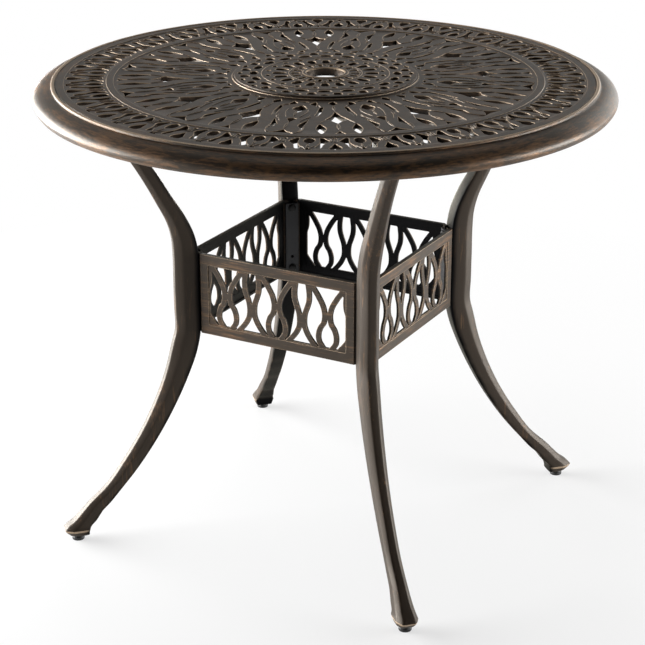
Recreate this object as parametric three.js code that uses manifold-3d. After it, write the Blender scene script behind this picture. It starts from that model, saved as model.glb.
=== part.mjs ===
// A round patio table with an umbrella hole. The top is one casting of openwork lattice in a
// rolled rim. Four curved legs are bolted under it, and four openwork panels tie the legs
// together at the waist. Millimetres, +Z up, origin on the floor under the table's centre.
// The legs stand on the diagonals and the panels face -Y, +X, +Y and -X.
import * as THREE from 'three';
import { mergeVertices } from 'three/addons/utils/BufferGeometryUtils.js';
import Module from 'manifold-3d';

// Driving dimensions of the tabletop
const tableHeight = 737;
const topDiameter = 893.4;
const plateThickness = 6;
const castWall = 5;
const rimRollWidth = 37.5;
const rimRollHeight = 19.5;
const rimRollDrop = 20.9;
const rimSkirtDepth = 6.6;
const beadOffset = 3.8;
const beadWidth = 6.4;
const beadRise = 2;
const plainBandWidth = 15.4;
const borderWidth = 59.6;
const ringBandWidth = 15;
const ringBandRise = 1;
const medallionRadius = 143.6;
const medallionRise = 5.2;
const medallionStepWidth = 3.5;
const medallionStepRise = 2.6;
const medallionUnderside = 0.6;
const umbrellaHoleDiameter = 58;
const holeRingWidth = 7;
const holeRingRise = 1.6;
const collarDepth = 0.5;

// Counts and turn of the lattice, in the pattern's own words: a crossing axis and a loop axis
// alternate in the field, a drop axis and a cup axis in the border
const fieldSectors = 12;
const borderPeriods = 32;
const rosettePetals = 20;
const patternTurn = 2.41;
const borderTurn = 2.5;
const rosetteTurn = 10;

// Driving dimensions of the legs
const footRadius = 417.9;
const waistDepth = 39;
const legWidth = 30;
const legFlat = 13.5;
const legShoulderShare = 0.67;
const topBoltInset = 20;
const flangeLength = 46;
const flangeWidth = 64;
const flangeThickness = 6;
const padDrop = 12;
const topBoltSpacing = 46;
const footHeight = 10;

// Driving dimensions of the side panels
const panelTop = 474;
const panelBottom = 342;
const cornerRadius = 208;
const cornerWidth = 34;
const panelThickness = 6;
const railHeight = 16.5;
const stileWidth = 14;
const latticeRecess = 1.5;
const latticeThickness = 3.6;
const latticeLip = 1.4;
const latticePeriod = 88.4;
const strandWidth = 8.4;
const shelfDepth = 8;
const shelfThickness = 4;
const endFlangeThickness = 5;
const endFlangeGap = 8;

// Corner strips, fasteners and glides
const stripWidth = 22;
const stripThickness = 4;
const stripEndGap = 0.6;
const stripSpareHoleShare = 0.23;
const stripSpareHoleRadius = 2.4;
const cornerBoltInset = 12.5;
const boltRadius = 3;
const boltHeadRadius = 6.5;
const boltHeadHeight = 3.6;
const boltBite = 8;
const washerRadius = 7.5;
const washerThickness = 1.5;
const glideRadius = 10;
const glideFoot = 6;
const glideNeckRadius = 6.5;
const studRadius = 4;
const studLength = 18;
const studRoom = 3;

// Clearances
const seatGap = 0.3;
const holeClearance = 0.3;
const overrun = 1;
const straightness = 0.01;

// How finely round forms are cut
const rimSegments = 60;
const rollSteps = 5;
const wallSteps = 2;
const holeSegments = 32;
const smallSegments = 8;

// Sizes that follow from the ones above
const outerRadius = topDiameter / 2;
const rollCentre = outerRadius - rimRollWidth;
const beadRadius = rollCentre + beadOffset;
const borderOuterRadius = beadRadius - plainBandWidth;
const borderInnerRadius = borderOuterRadius - borderWidth;
const topBoltRadius = borderInnerRadius + topBoltInset;
const plateTop = tableHeight;
const plateBottom = plateTop - plateThickness;
const medallionTop = plateTop + medallionRise;
const fieldOuterRadius = borderInnerRadius - ringBandWidth;
const plateOuterRadius = beadRadius - beadWidth / 2 - overrun;
const padBottom = plateBottom - padDrop;
const flangeTop = padBottom - seatGap;
const legTop = flangeTop - flangeThickness / 2;
const panelHeight = panelTop - panelBottom;
const legFace = cornerRadius + seatGap;
const waistRadius = legFace + waistDepth / 2;
const panelHalf = (cornerRadius - cornerWidth / 2) / Math.SQRT2;
const panelPlane = (cornerRadius + cornerWidth / 2) / Math.SQRT2;
const stripFace = cornerRadius - endFlangeThickness - seatGap;
const headFace = stripFace - stripThickness - seatGap;
const cornerBoltHeights = [panelBottom + cornerBoltInset, panelTop - cornerBoltInset];

const turn = (degrees) => THREE.MathUtils.degToRad(degrees);
const quarterTurns = [0, 1, 2, 3];

const wasm = await Module();
wasm.setup();

// Solids: a closed three.js geometry in and out of the join and cut library
function solid(geometry) {
  const bare = geometry.clone();
  bare.deleteAttribute('normal');
  bare.deleteAttribute('uv');
  const merged = mergeVertices(bare);
  const mesh = new wasm.Mesh({
    numProp: 3,
    vertProperties: new Float32Array(merged.attributes.position.array),
    triVerts: new Uint32Array(merged.index.array),
  });
  return new wasm.Manifold(mesh);
}

function geometryOf(body) {
  const mesh = body.getMesh();
  const geometry = new THREE.BufferGeometry();
  geometry.setAttribute('position', new THREE.BufferAttribute(mesh.vertProperties, mesh.numProp));
  geometry.setIndex(new THREE.BufferAttribute(mesh.triVerts, 1));
  return geometry;
}

const join = (bodies) => bodies.reduce((whole, body) => whole.add(body));
const cut = (body, tools) => tools.reduce((rest, tool) => rest.subtract(tool), body);

// Flat outlines: a closed loop of points, and a plate between two heights
const polar = (radius, angle) => new THREE.Vector2(radius * Math.cos(angle), radius * Math.sin(angle));

function circleLoop(radius, segments) {
  const steps = Array.from({ length: segments }, (_, step) => step / segments);
  return steps.map((share) => polar(radius, share * 2 * Math.PI));
}

// A loop without the points that lie on a straight line between their neighbours
function cornersOf(loop) {
  return loop.filter((point, index) => {
    const before = loop[(index + loop.length - 1) % loop.length];
    const after = loop[(index + 1) % loop.length];
    const ahead = after.clone().sub(before).normalize();
    return Math.abs(ahead.cross(point.clone().sub(before))) > straightness;
  });
}

function plate(outline, holes, bottom, top) {
  const shape = new THREE.Shape(cornersOf(outline));
  shape.holes = holes.map((loop) => new THREE.Path(cornersOf(loop)));
  const geometry = new THREE.ExtrudeGeometry(shape, { depth: top - bottom, bevelEnabled: false });
  return geometry.translate(0, 0, bottom);
}

// A ring or a round piece turned about Z from a profile of [radius, height] pairs
function turned(profile, segments) {
  const points = profile.map(([radius, height]) => new THREE.Vector2(radius, height));
  return new THREE.LatheGeometry(points, segments).rotateX(Math.PI / 2);
}

const closed = (profile) => [...profile, profile[0]];

// A cylinder about a line from one point to another
function rod(from, to, radius) {
  const span = new THREE.Vector3().subVectors(to, from);
  const geometry = new THREE.CylinderGeometry(radius, radius, span.length(), smallSegments);
  const along = new THREE.Vector3(0, 1, 0);
  const aim = new THREE.Quaternion().setFromUnitVectors(along, span.clone().normalize());
  const middle = new THREE.Vector3().addVectors(from, to).multiplyScalar(0.5);
  return geometry.applyQuaternion(aim).translate(middle.x, middle.y, middle.z);
}

// A closed body through rings of equal count, with flat ends
function loft(rings) {
  const count = rings[0].length;
  const positions = rings.flat().flatMap((point) => [point.x, point.y, point.z]);
  const faces = [];
  for (let ring = 0; ring + 1 < rings.length; ring += 1) {
    for (let side = 0; side < count; side += 1) {
      const here = ring * count + side;
      const next = ring * count + (side + 1) % count;
      faces.push(here, next, next + count, here, next + count, here + count);
    }
  }
  const last = (rings.length - 1) * count;
  for (let side = 1; side + 1 < count; side += 1) {
    faces.push(0, side + 1, side);
    faces.push(last, last + side, last + side + 1);
  }
  const geometry = new THREE.BufferGeometry();
  geometry.setAttribute('position', new THREE.Float32BufferAttribute(positions, 3));
  geometry.setIndex(faces);
  return geometry;
}

// The lattice casting
// Outlines in shares. The first number is the share of the way round from one axis to the
// next, the second the share of the way out across the band. A loop on an axis lists one side.
const fieldCrossingShares = [
  [[0, 0.02], [0.18, 0.082], [0, 0.164]],
  [[0, 0.331], [0.248, 0.593], [0.066, 0.651], [0, 0.693]],
  [[0, 0.889], [0.095, 0.985]],
];
const fieldLoopShares = [
  [[0, 0.153], [0.24, 0.23], [0.2, 0.303], [0, 0.376]],
  [[0, 0.498], [0.153, 0.537], [0, 0.682]],
  [[0, 0.872], [0.213, 0.985]],
];
const fieldSideShares = [
  [[0.362, 0.694], [0.232, 0.83], [0.318, 0.99], [0.41, 0.9], [0.43, 0.787]],
  [[0.658, 0.546], [0.665, 0.72], [0.685, 0.865], [0.8, 0.79], [0.777, 0.634]],
  [[0.36, 0.22], [0.431, 0.417], [0.519, 0.496], [0.6, 0.447], [0.561, 0.29], [0.5, 0.222]],
  [[0.555, 0.163], [0.8, 0.111], [0.606, 0.046]],
];
const borderDropShares = [
  [[0, 0.02], [0.17, 0.25], [0, 0.52]],
];
const borderCupShares = [
  [[0, 0.411], [0.173, 0.74], [0.13, 0.97]],
];
const borderSideShares = [
  [[0.48, 0.01], [0.41, 0.3], [0.27, 0.7], [0.46, 0.94], [0.6, 0.55], [0.75, 0.25]],
];
const rosettePetalShares = [
  [[0.36, 0.242], [0.36, 0.437]],
  [[0.36, 0.646], [0.36, 0.73]],
];
const rosetteBetweenShares = [
  [[0, 0.595], [0.34, 0.81], [0, 0.855]],
];

// Both sides of a loop that lies on an axis
const bothSides = (half) => {
  const mirrored = half.filter(([around]) => around > 0).map(([around, out]) => [-around, out]);
  return [...half, ...mirrored.reverse()];
};

// Loops of one band: every axis of the two kinds, and both flanks of each first axis
function bandLoops(band, firstAxis, secondAxis, flanks) {
  const half = Math.PI / band.copies;
  const loops = [];
  for (let copy = 0; copy < band.copies; copy += 1) {
    const start = turn(band.turn) + 2 * half * copy;
    const place = (shares, from, way) => shares.map(([around, out]) => (
      polar(band.inner + out * (band.outer - band.inner), from + way * around * half)));
    firstAxis.forEach((shares) => loops.push(place(bothSides(shares), start, 1)));
    secondAxis.forEach((shares) => loops.push(place(bothSides(shares), start + half, 1)));
    flanks.forEach((shares) => loops.push(place(shares, start, 1), place(shares, start, -1)));
  }
  return loops;
}

const fieldBand = {
  inner: medallionRadius, outer: fieldOuterRadius, copies: fieldSectors, turn: patternTurn,
};
const borderBand = {
  inner: borderInnerRadius, outer: borderOuterRadius, copies: borderPeriods, turn: borderTurn,
};
const rosetteBand = {
  inner: umbrellaHoleDiameter / 2 + holeRingWidth,
  outer: medallionRadius,
  copies: rosettePetals,
  turn: rosetteTurn,
};

function latticePlate() {
  const openings = [
    ...bandLoops(fieldBand, fieldCrossingShares, fieldLoopShares, fieldSideShares),
    ...bandLoops(borderBand, borderDropShares, borderCupShares, borderSideShares),
    circleLoop(medallionRadius - medallionStepWidth - overrun, rimSegments),
  ];
  return plate(circleLoop(plateOuterRadius, rimSegments), openings, plateBottom, plateTop);
}

function medallion() {
  const petals = bandLoops(rosetteBand, rosettePetalShares, rosetteBetweenShares, []);
  const underside = plateBottom - medallionUnderside;
  const bore = circleLoop(umbrellaHoleDiameter / 2 + holeRingWidth / 2, holeSegments);
  const raised = circleLoop(medallionRadius - medallionStepWidth, rimSegments);
  const disc = plate(raised, [bore, ...petals], underside, medallionTop);
  const inner = medallionRadius - medallionStepWidth - overrun;
  const stepTop = plateTop + medallionStepRise;
  const step = turned(closed([
    [inner, plateBottom + overrun],
    [medallionRadius, plateBottom + overrun],
    [medallionRadius, stepTop],
    [inner, stepTop],
  ]), rimSegments);
  return join([solid(disc), solid(step)]);
}

// The umbrella hole's raised ring and the low collar below it
function holeRing() {
  const bore = umbrellaHoleDiameter / 2;
  const outer = bore + holeRingWidth;
  const top = medallionTop + holeRingRise;
  const bottom = plateBottom - collarDepth;
  return turned(closed([
    [bore, bottom],
    [bore + castWall, bottom],
    [bore + castWall, plateBottom + overrun],
    [outer, plateBottom + overrun],
    [outer, top - holeRingRise / 2],
    [outer - holeRingRise, top],
    [bore + holeRingRise, top],
    [bore, top - holeRingRise],
  ]), holeSegments);
}

// A plain flat band between the field and the border, slightly proud of both
function ringBand() {
  const edge = ringBandRise;
  const low = plateTop - overrun;
  return turned(closed([
    [fieldOuterRadius + edge, low],
    [borderInnerRadius - edge, low],
    [borderInnerRadius - 2 * edge, plateTop + ringBandRise],
    [fieldOuterRadius + 2 * edge, plateTop + ringBandRise],
  ]), rimSegments);
}

// The rolled rim is a quarter ellipse and a little more, with a bead at its inner edge and a
// wall of even thickness, open below
function rim() {
  const rollMiddle = plateTop - rimRollDrop;
  const rollEnd = turn(-40);
  const rollStart = Math.acos((beadRadius + beadWidth / 2 - rollCentre) / rimRollWidth);
  const at = (angle, inset) => [
    rollCentre + (rimRollWidth - inset) * Math.cos(angle),
    rollMiddle + (rimRollHeight - inset) * Math.sin(angle),
  ];
  const angles = (steps) => Array.from({ length: steps + 1 }, (_, step) => (
    THREE.MathUtils.lerp(rollStart, rollEnd, step / steps)));
  const outside = angles(rollSteps).map((angle) => at(angle, 0));
  const inside = angles(wallSteps).map((angle) => at(angle, castWall)).reverse();
  const [skirtRadius, skirtTop] = outside[outside.length - 1];
  const skirtBottom = skirtTop - rimSkirtDepth;
  const tongue = plateOuterRadius - castWall;
  return turned(closed([
    [tongue, plateBottom + overrun],
    [tongue, plateTop - overrun],
    [plateOuterRadius - overrun, plateTop - overrun],
    [beadRadius - beadWidth / 2, plateTop + beadRise / 2],
    [beadRadius, plateTop + beadRise],
    [beadRadius + beadWidth / 2, plateTop + beadRise / 2],
    ...outside,
    [skirtRadius, skirtBottom],
    [skirtRadius - castWall, skirtBottom],
    ...inside,
    [plateOuterRadius, plateBottom - overrun / 2],
  ].reverse()), rimSegments);
}

// Pads under the border that the legs' top flanges bolt to, with their blind bolt holes
const topBoltPlaces = (side) => new THREE.Vector2(topBoltRadius, side * topBoltSpacing / 2);

const ontoDiagonals = (body) => quarterTurns.map((quarter) => (
  body.rotate([0, 0, 45 + 90 * quarter])));

function legPads() {
  const block = new THREE.BoxGeometry(flangeLength, flangeWidth, padDrop + overrun);
  block.translate(topBoltRadius, 0, padBottom + (padDrop + overrun) / 2);
  return ontoDiagonals(solid(block));
}

function padHoles() {
  return [-1, 1].flatMap((side) => {
    const place = topBoltPlaces(side);
    const low = new THREE.Vector3(place.x, place.y, padBottom - overrun);
    const high = new THREE.Vector3(place.x, place.y, padBottom + boltBite + holeClearance);
    return ontoDiagonals(solid(rod(low, high, boltRadius + holeClearance)));
  });
}

function tabletop() {
  const casting = join([
    solid(latticePlate()), medallion(), solid(holeRing()), solid(ringBand()), solid(rim()),
    ...legPads(),
  ]);
  return geometryOf(cut(casting, padHoles()));
}

// Legs
// Stations of the bar above and below the straight waist. In each, the first number is the
// share of the way out from the waist, the second the share of the way up or down, and the
// others are shares of the waist's depth and width.
const upperLegShares = [
  [0.026, 0.106, 0.91, 1], [0.1045, 0.229, 0.77, 1], [0.238, 0.363, 0.67, 0.93],
  [0.389, 0.514, 0.62, 0.84], [0.677, 0.759, 0.55, 0.75], [0.896, 0.922, 0.53, 0.73],
  [1, 1, 0.68, 0.75],
];
const lowerLegShares = [
  [0.03, 0.073, 0.97, 0.96], [0.101, 0.203, 0.86, 0.93], [0.204, 0.345, 0.755, 0.885],
  [0.351, 0.506, 0.665, 0.81], [0.522, 0.655, 0.6, 0.765], [0.716, 0.794, 0.54, 0.755],
];

// Level rings of the foot: the ankle, the lip all round and the narrower base below it
const footShares = [
  [0.868, 0.88, 0.76, 0.8], [0.935, 0.925, 0.85, 0.905], [1.009, 0.967, 0.985, 1.09],
  [1.008, 0.975, 0.95, 1.06], [0.991, 1, 0.756, 0.89],
];

// The bar's section is a rectangle towards the panels with two wide chamfers outwards
function legSection(depth, width) {
  const shoulder = (legShoulderShare - 0.5) * depth;
  const flat = width * legFlat / legWidth / 2;
  return [
    [-width / 2, -depth / 2], [-width / 2, shoulder], [-flat, depth / 2],
    [flat, depth / 2], [width / 2, shoulder], [width / 2, -depth / 2],
  ];
}

function legStations() {
  const upper = upperLegShares.map(([out, up, depth, width]) => ({
    radius: THREE.MathUtils.lerp(waistRadius, topBoltRadius, out),
    height: THREE.MathUtils.lerp(panelTop, legTop, up),
    depth: depth * waistDepth,
    width: width * legWidth,
  }));
  const below = (isLevel) => ([out, down, depth, width]) => ({
    radius: THREE.MathUtils.lerp(waistRadius, footRadius, out),
    height: THREE.MathUtils.lerp(panelBottom, footHeight, down),
    depth: depth * waistDepth,
    width: width * legWidth,
    isLevel,
  });
  const waist = [panelTop, panelBottom].map((height) => ({
    radius: waistRadius, height, depth: waistDepth, width: legWidth, isLevel: true,
  }));
  const lower = lowerLegShares.map(below(false));
  return [...upper.reverse(), ...waist, ...lower, ...footShares.map(below(true))];
}

// Rings square to the bar, level at the top, along the waist and in the foot
function legRings() {
  const stations = legStations();
  return stations.map((station, index) => {
    const before = stations[Math.max(index - 1, 0)];
    const after = stations[Math.min(index + 1, stations.length - 1)];
    const run = new THREE.Vector2(after.radius - before.radius, after.height - before.height);
    const lean = station.isLevel || index === 0 ? 0 : Math.atan2(run.x, -run.y);
    return legSection(station.depth, station.width).map(([across, out]) => new THREE.Vector3(
      station.radius + out * Math.cos(lean), across, station.height + out * Math.sin(lean)));
  });
}

// One leg lies in the XZ plane, and its copies are turned onto the diagonals
function leg() {
  const bar = solid(loft(legRings().reverse()));
  const flange = new THREE.BoxGeometry(flangeLength, flangeWidth, flangeThickness);
  flange.translate(topBoltRadius, 0, flangeTop - flangeThickness / 2);
  const holes = [-1, 1].map((side) => {
    const place = topBoltPlaces(side);
    const low = new THREE.Vector3(place.x, place.y, flangeTop - flangeThickness - overrun);
    const high = new THREE.Vector3(place.x, place.y, flangeTop + overrun);
    return solid(rod(low, high, boltRadius + holeClearance));
  });
  cornerBoltHeights.forEach((height) => {
    const near = new THREE.Vector3(legFace - overrun, 0, height);
    const far = new THREE.Vector3(legFace + boltBite + holeClearance, 0, height);
    holes.push(solid(rod(near, far, boltRadius + holeClearance)));
  });
  const studLow = new THREE.Vector3(footRadius, 0, footHeight - overrun);
  const studHigh = new THREE.Vector3(footRadius, 0, footHeight + studLength + studRoom);
  holes.push(solid(rod(studLow, studHigh, studRadius + holeClearance)));
  return geometryOf(cut(join([bar, solid(flange)]), holes));
}

// Side panels
// A strand's path in shares of the lattice period and of the opening's height. A strand of the
// high crossing is followed from the bottom rail up, one of the low crossing from the top down.
const highStrandShares = [
  [0.1, 0], [0.165, 0.1], [0.175, 0.18], [0.145, 0.3], [0.07, 0.42], [0.052, 0.54], [0.075, 0.66],
  [0.163, 0.82], [0.3, 1],
];
const lowStrandShares = [
  [0.125, 0], [0.145, 0.18], [0.137, 0.28], [0.105, 0.38], [0.06, 0.5], [0.046, 0.62],
  [0.055, 0.72], [0.1, 0.82], [0.165, 0.91], [0.25, 1],
];
const strandSteps = 7;
const crossingPlaces = [-3, -2, -1, 0, 1, 2, 3];

// The gap between two strands ends where they come nearer than this share of their width
const openingTipShare = 0.2;

function strandOffset(shares, along) {
  const after = Math.max(1, shares.findIndex(([, share]) => share >= along));
  const [fromOffset, fromShare] = shares[after - 1];
  const [toOffset, toShare] = shares[after];
  const mix = (along - fromShare) / (toShare - fromShare);
  return latticePeriod * THREE.MathUtils.lerp(fromOffset, toOffset, mix);
}

// Half of a strand's width measured level, which grows where the strand leans
function strandReach(shares, along, height) {
  const step = 0.02;
  const low = Math.max(0, along - step);
  const high = Math.min(1, along + step);
  const rise = (high - low) * height;
  const slope = (strandOffset(shares, high) - strandOffset(shares, low)) / rise;
  return Math.sqrt(1 + slope * slope) * strandWidth / 2;
}

// Openings of the lattice, between neighbouring strand edges and inside the frame's lip
function panelOpenings() {
  const half = panelHalf - stileWidth - latticeLip;
  const bottom = panelBottom + railHeight + latticeLip;
  const top = panelTop - railHeight - latticeLip;
  const height = top - bottom;
  const ups = Array.from({ length: strandSteps * 2 + 1 }, (_, step) => step / (strandSteps * 2));
  const downs = [...ups].reverse();
  const edge = (kind, centre, way, side) => (step) => {
    const along = kind === highStrandShares ? ups[step] : downs[step];
    const offset = strandOffset(kind, along) + side * strandReach(kind, along, height);
    return centre + way * offset;
  };
  const spans = [];
  crossingPlaces.forEach((place) => {
    const centre = place * latticePeriod / 2;
    const kind = place % 2 === 0 ? highStrandShares : lowStrandShares;
    const other = kind === highStrandShares ? lowStrandShares : highStrandShares;
    spans.push([edge(kind, centre, -1, -1), edge(kind, centre, 1, -1)]);
    spans.push([edge(kind, centre, 1, 1), edge(other, centre + latticePeriod / 2, -1, 1)]);
  });
  const loops = [];
  spans.forEach(([leftOf, rightOf]) => {
    let run = [];
    const close = () => {
      const thinned = run.filter((_, index) => index % 2 === 0 || index === run.length - 1);
      const left = thinned.map(([x, , z]) => new THREE.Vector2(x, z));
      const right = thinned.map(([, x, z]) => new THREE.Vector2(x, z)).reverse();
      if (thinned.length > 2) loops.push([...right, ...left]);
      run = [];
    };
    ups.forEach((up, step) => {
      const left = Math.max(leftOf(step), -half);
      const right = Math.min(rightOf(step), half);
      if (right - left > openingTipShare * strandWidth) run.push([left, right, bottom + up * height]);
      else close();
    });
    close();
  });
  return loops;
}

// The panel that faces -Y, with its outside face at the panel plane. Its ends turn inwards at
// 45 degrees to lie on the leg, and a shelf runs along its top and bottom.
function panel() {
  const upright = (outline, outside, inside) => {
    const geometry = plate(outline, [], -inside, -outside).rotateX(Math.PI / 2);
    return solid(geometry.translate(0, -panelPlane, 0));
  };
  const rectangle = (halfWidth, low, high) => [
    new THREE.Vector2(-halfWidth, low), new THREE.Vector2(halfWidth, low),
    new THREE.Vector2(halfWidth, high), new THREE.Vector2(-halfWidth, high),
  ];
  const inside = (margin) => rectangle(
    panelHalf - stileWidth + margin,
    panelBottom + railHeight - margin,
    panelTop - railHeight + margin,
  );
  const slab = upright(rectangle(panelHalf, panelBottom, panelTop), 0, panelThickness);
  const frame = cut(slab, [upright(inside(0), -overrun, panelThickness + overrun)]);
  const latticeBack = latticeRecess + latticeThickness;
  const openings = panelOpenings().map((loop) => upright(loop, 0, latticeBack + overrun));
  const lattice = cut(upright(inside(overrun), latticeRecess, latticeBack), openings);
  const slant = (cornerWidth - endFlangeGap) / 2 / Math.SQRT2;
  const thick = endFlangeThickness / Math.SQRT2;
  const ends = [-1, 1].map((side) => {
    const plan = [
      [panelHalf, 0], [panelHalf + slant, slant],
      [panelHalf + slant - thick, slant + thick], [panelHalf - 2 * thick, overrun],
      [panelHalf - 2 * thick, 0],
    ];
    const outline = plan.map(([x, y]) => new THREE.Vector2(side * x, y - panelPlane));
    return solid(plate(outline, [], panelBottom, panelTop));
  });
  const shelfPlan = [
    [-panelHalf, 0], [panelHalf, 0],
    [panelHalf + shelfDepth, shelfDepth], [-panelHalf - shelfDepth, shelfDepth],
  ].map(([x, y]) => new THREE.Vector2(x, y - panelPlane));
  const shelves = [panelBottom, panelTop - shelfThickness].map((low) => (
    solid(plate(shelfPlan, [], low, low + shelfThickness))));
  return geometryOf(join([frame, lattice, ...ends, ...shelves]));
}

// Corner strips and fasteners, made on the +X side and turned onto the diagonals
function cornerStrip() {
  const low = panelBottom + shelfThickness + stripEndGap;
  const high = panelTop - shelfThickness - stripEndGap;
  const bar = new THREE.BoxGeometry(stripThickness, stripWidth, high - low);
  bar.translate(stripFace - stripThickness / 2, 0, (low + high) / 2);
  const drill = (height, radius) => {
    const near = new THREE.Vector3(stripFace - stripThickness - overrun, 0, height);
    const far = new THREE.Vector3(stripFace + overrun, 0, height);
    return solid(rod(near, far, radius));
  };
  const spareHeight = THREE.MathUtils.lerp(low, high, stripSpareHoleShare);
  return geometryOf(cut(solid(bar), [
    ...cornerBoltHeights.map((height) => drill(height, boltRadius + holeClearance)),
    drill(spareHeight, stripSpareHoleRadius),
  ]));
}

// A round-headed bolt that points up +Z from the underside of its head at height zero
function bolt(length) {
  const crown = boltHeadRadius / 2;
  return turned([
    [0, -boltHeadHeight],
    [crown, -boltHeadHeight],
    [boltHeadRadius - boltHeadHeight / 3, -boltHeadHeight * 3 / 4],
    [boltHeadRadius, -boltHeadHeight / 3],
    [boltHeadRadius, 0],
    [boltRadius, 0],
    [boltRadius, length],
    [0, length],
  ], smallSegments);
}

const cornerBolt = (height) => (
  bolt(legFace + boltBite - headFace).rotateY(Math.PI / 2).translate(headFace, 0, height));

const washerTop = flangeTop - flangeThickness - seatGap;
const headTop = washerTop - washerThickness - seatGap;

function topBolt(side) {
  const place = topBoltPlaces(side);
  return bolt(padBottom + boltBite - headTop).translate(place.x, place.y, headTop);
}

function topWasher(side) {
  const place = topBoltPlaces(side);
  const inner = boltRadius + holeClearance;
  return turned(closed([
    [inner, washerTop - washerThickness], [washerRadius, washerTop - washerThickness],
    [washerRadius, washerTop], [inner, washerTop],
  ]), smallSegments).translate(place.x, place.y, 0);
}

// A levelling glide: a pad on the floor and the stud that screws up into the foot
function glide() {
  const padTop = footHeight - seatGap;
  return turned([
    [0, 0], [glideRadius - overrun, 0], [glideRadius, overrun], [glideRadius, glideFoot],
    [glideNeckRadius, padTop], [studRadius, padTop], [studRadius, padTop + studLength],
    [0, padTop + studLength],
  ], smallSegments).translate(footRadius, 0, 0);
}

// Finishes
const finish = (color, roughness, metalness) => (
  new THREE.MeshStandardMaterial({ color, roughness, metalness }));
const bronzeTop = finish(0x4a4038, 0.45, 0.6);
const bronzeLeg = finish(0x3a322c, 0.45, 0.6);
const bronzePanel = finish(0x54473c, 0.5, 0.6);
const darkStrip = finish(0x16161a, 0.5, 0.5);
const zincBolt = finish(0x3c3c3e, 0.4, 0.8);
const blackGlide = finish(0x0c0c0c, 0.7, 0);

// The assembly
const table = new THREE.Group();
table.name = 'umbrella_table';

function add(parent, name, geometry, material) {
  const mesh = new THREE.Mesh(geometry, material);
  mesh.name = name;
  parent.add(mesh);
}

add(table, 'tabletop_casting', tabletop(), bronzeTop);

const panelGeometry = panel();
const [lowBoltHeight, highBoltHeight] = cornerBoltHeights;
const cornerPieces = [
  ['leg', leg(), bronzeLeg],
  ['corner_strip', cornerStrip(), darkStrip],
  ['corner_bolt_low', cornerBolt(lowBoltHeight), zincBolt],
  ['corner_bolt_high', cornerBolt(highBoltHeight), zincBolt],
  ['top_bolt_a', topBolt(-1), zincBolt],
  ['top_bolt_b', topBolt(1), zincBolt],
  ['top_washer_a', topWasher(-1), zincBolt],
  ['top_washer_b', topWasher(1), zincBolt],
  ['levelling_glide', glide(), blackGlide],
];
const cornerNames = ['right', 'back', 'left', 'front'];
const sideNames = ['front_left', 'front_right', 'back_right', 'back_left'];

quarterTurns.forEach((quarter) => {
  const corner = new THREE.Group();
  corner.rotation.z = turn(45 + 90 * quarter);
  table.add(corner);
  cornerPieces.forEach(([name, geometry, material]) => (
    add(corner, `${name}_${cornerNames[quarter]}`, geometry, material)));
  const side = new THREE.Group();
  side.rotation.z = turn(90 * quarter);
  table.add(side);
  add(side, `side_panel_${sideNames[quarter]}`, panelGeometry, bronzePanel);
});

export default table;
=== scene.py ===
"""Umbrella table: a round cast patio table with an openwork top, dressed round its packed parts.

Lengths are in metres. Outlines are kept as shares of the sizes that they follow. Surfaces are
profiles carried along paths, and flat faces between outlines, worked out as whole arrays.
"""
import math

import bmesh
import bpy
import numpy as np
from bpy.props import FloatProperty, FloatVectorProperty, IntProperty, PointerProperty
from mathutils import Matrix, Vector
from mathutils.geometry import delaunay_2d_cdt


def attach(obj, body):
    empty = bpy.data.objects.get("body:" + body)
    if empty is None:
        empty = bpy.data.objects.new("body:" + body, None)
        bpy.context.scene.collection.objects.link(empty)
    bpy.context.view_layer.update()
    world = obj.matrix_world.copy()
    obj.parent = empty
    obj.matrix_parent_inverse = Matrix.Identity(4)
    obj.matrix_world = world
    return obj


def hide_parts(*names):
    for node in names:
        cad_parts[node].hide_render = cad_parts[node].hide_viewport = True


bl_info = {
    "name": "Umbrella Table",
    "version": (1, 0, 0),
    "blender": (4, 5, 0),
    "location": "3D View > Sidebar > Umbrella Table",
    "description": "Dresses a round cast umbrella table: openwork top, legs, panels, fasteners",
    "category": "Object",
}

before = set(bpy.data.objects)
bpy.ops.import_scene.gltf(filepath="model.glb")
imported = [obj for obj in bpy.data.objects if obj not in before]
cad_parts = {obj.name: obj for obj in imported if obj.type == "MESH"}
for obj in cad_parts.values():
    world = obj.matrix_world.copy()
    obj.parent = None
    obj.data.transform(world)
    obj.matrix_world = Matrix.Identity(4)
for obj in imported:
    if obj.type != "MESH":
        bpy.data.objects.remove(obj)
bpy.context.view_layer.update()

CORNERS = ("right", "back", "left", "front")
SIDES = ("front_left", "front_right", "back_right", "back_left")

# Outlines of the openings. The first number is the share of the way round from one axis to the
# next, the second the share of the way out across the band. A loop on an axis lists one side.
FIELD_CROSSING = (
    ((0, .024), (.16, .082), (0, .164)),
    ((0, .331), (.134, .471), (.248, .593), (.135, .616), (.066, .651), (0, .693)),
    ((0, .889), (.05, .94), (.095, .978), (0, .966)),
)
FIELD_LOOP = (
    ((0, .036), (.167, .056), (0, .075)),
    ((0, .16), (.12, .195), (.2, .24), (.215, .275), (.15, .31), (.06, .355), (0, .385)),
    ((0, .535), (.115, .56), (.075, .605), (.035, .645), (0, .682)),
    ((0, .872), (.1, .93), (.213, .978), (0, .966)),
)
FIELD_SIDE = (
    ((.362, .694), (.264, .781), (.232, .819), (.236, .87), (.254, .909), (.318, .98),
     (.389, .914), (.424, .865), (.43, .787)),
    ((.625, .58), (.645, .69), (.67, .785), (.685, .865), (.755, .805), (.8, .755),
     (.735, .67)),
    ((.35, .195), (.33, .285), (.35, .36), (.4, .43), (.465, .498), (.515, .465), (.5, .39),
     (.475, .32), (.455, .25), (.42, .205)),
    ((.555, .163), (.8, .111), (.606, .046)),
)
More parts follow.
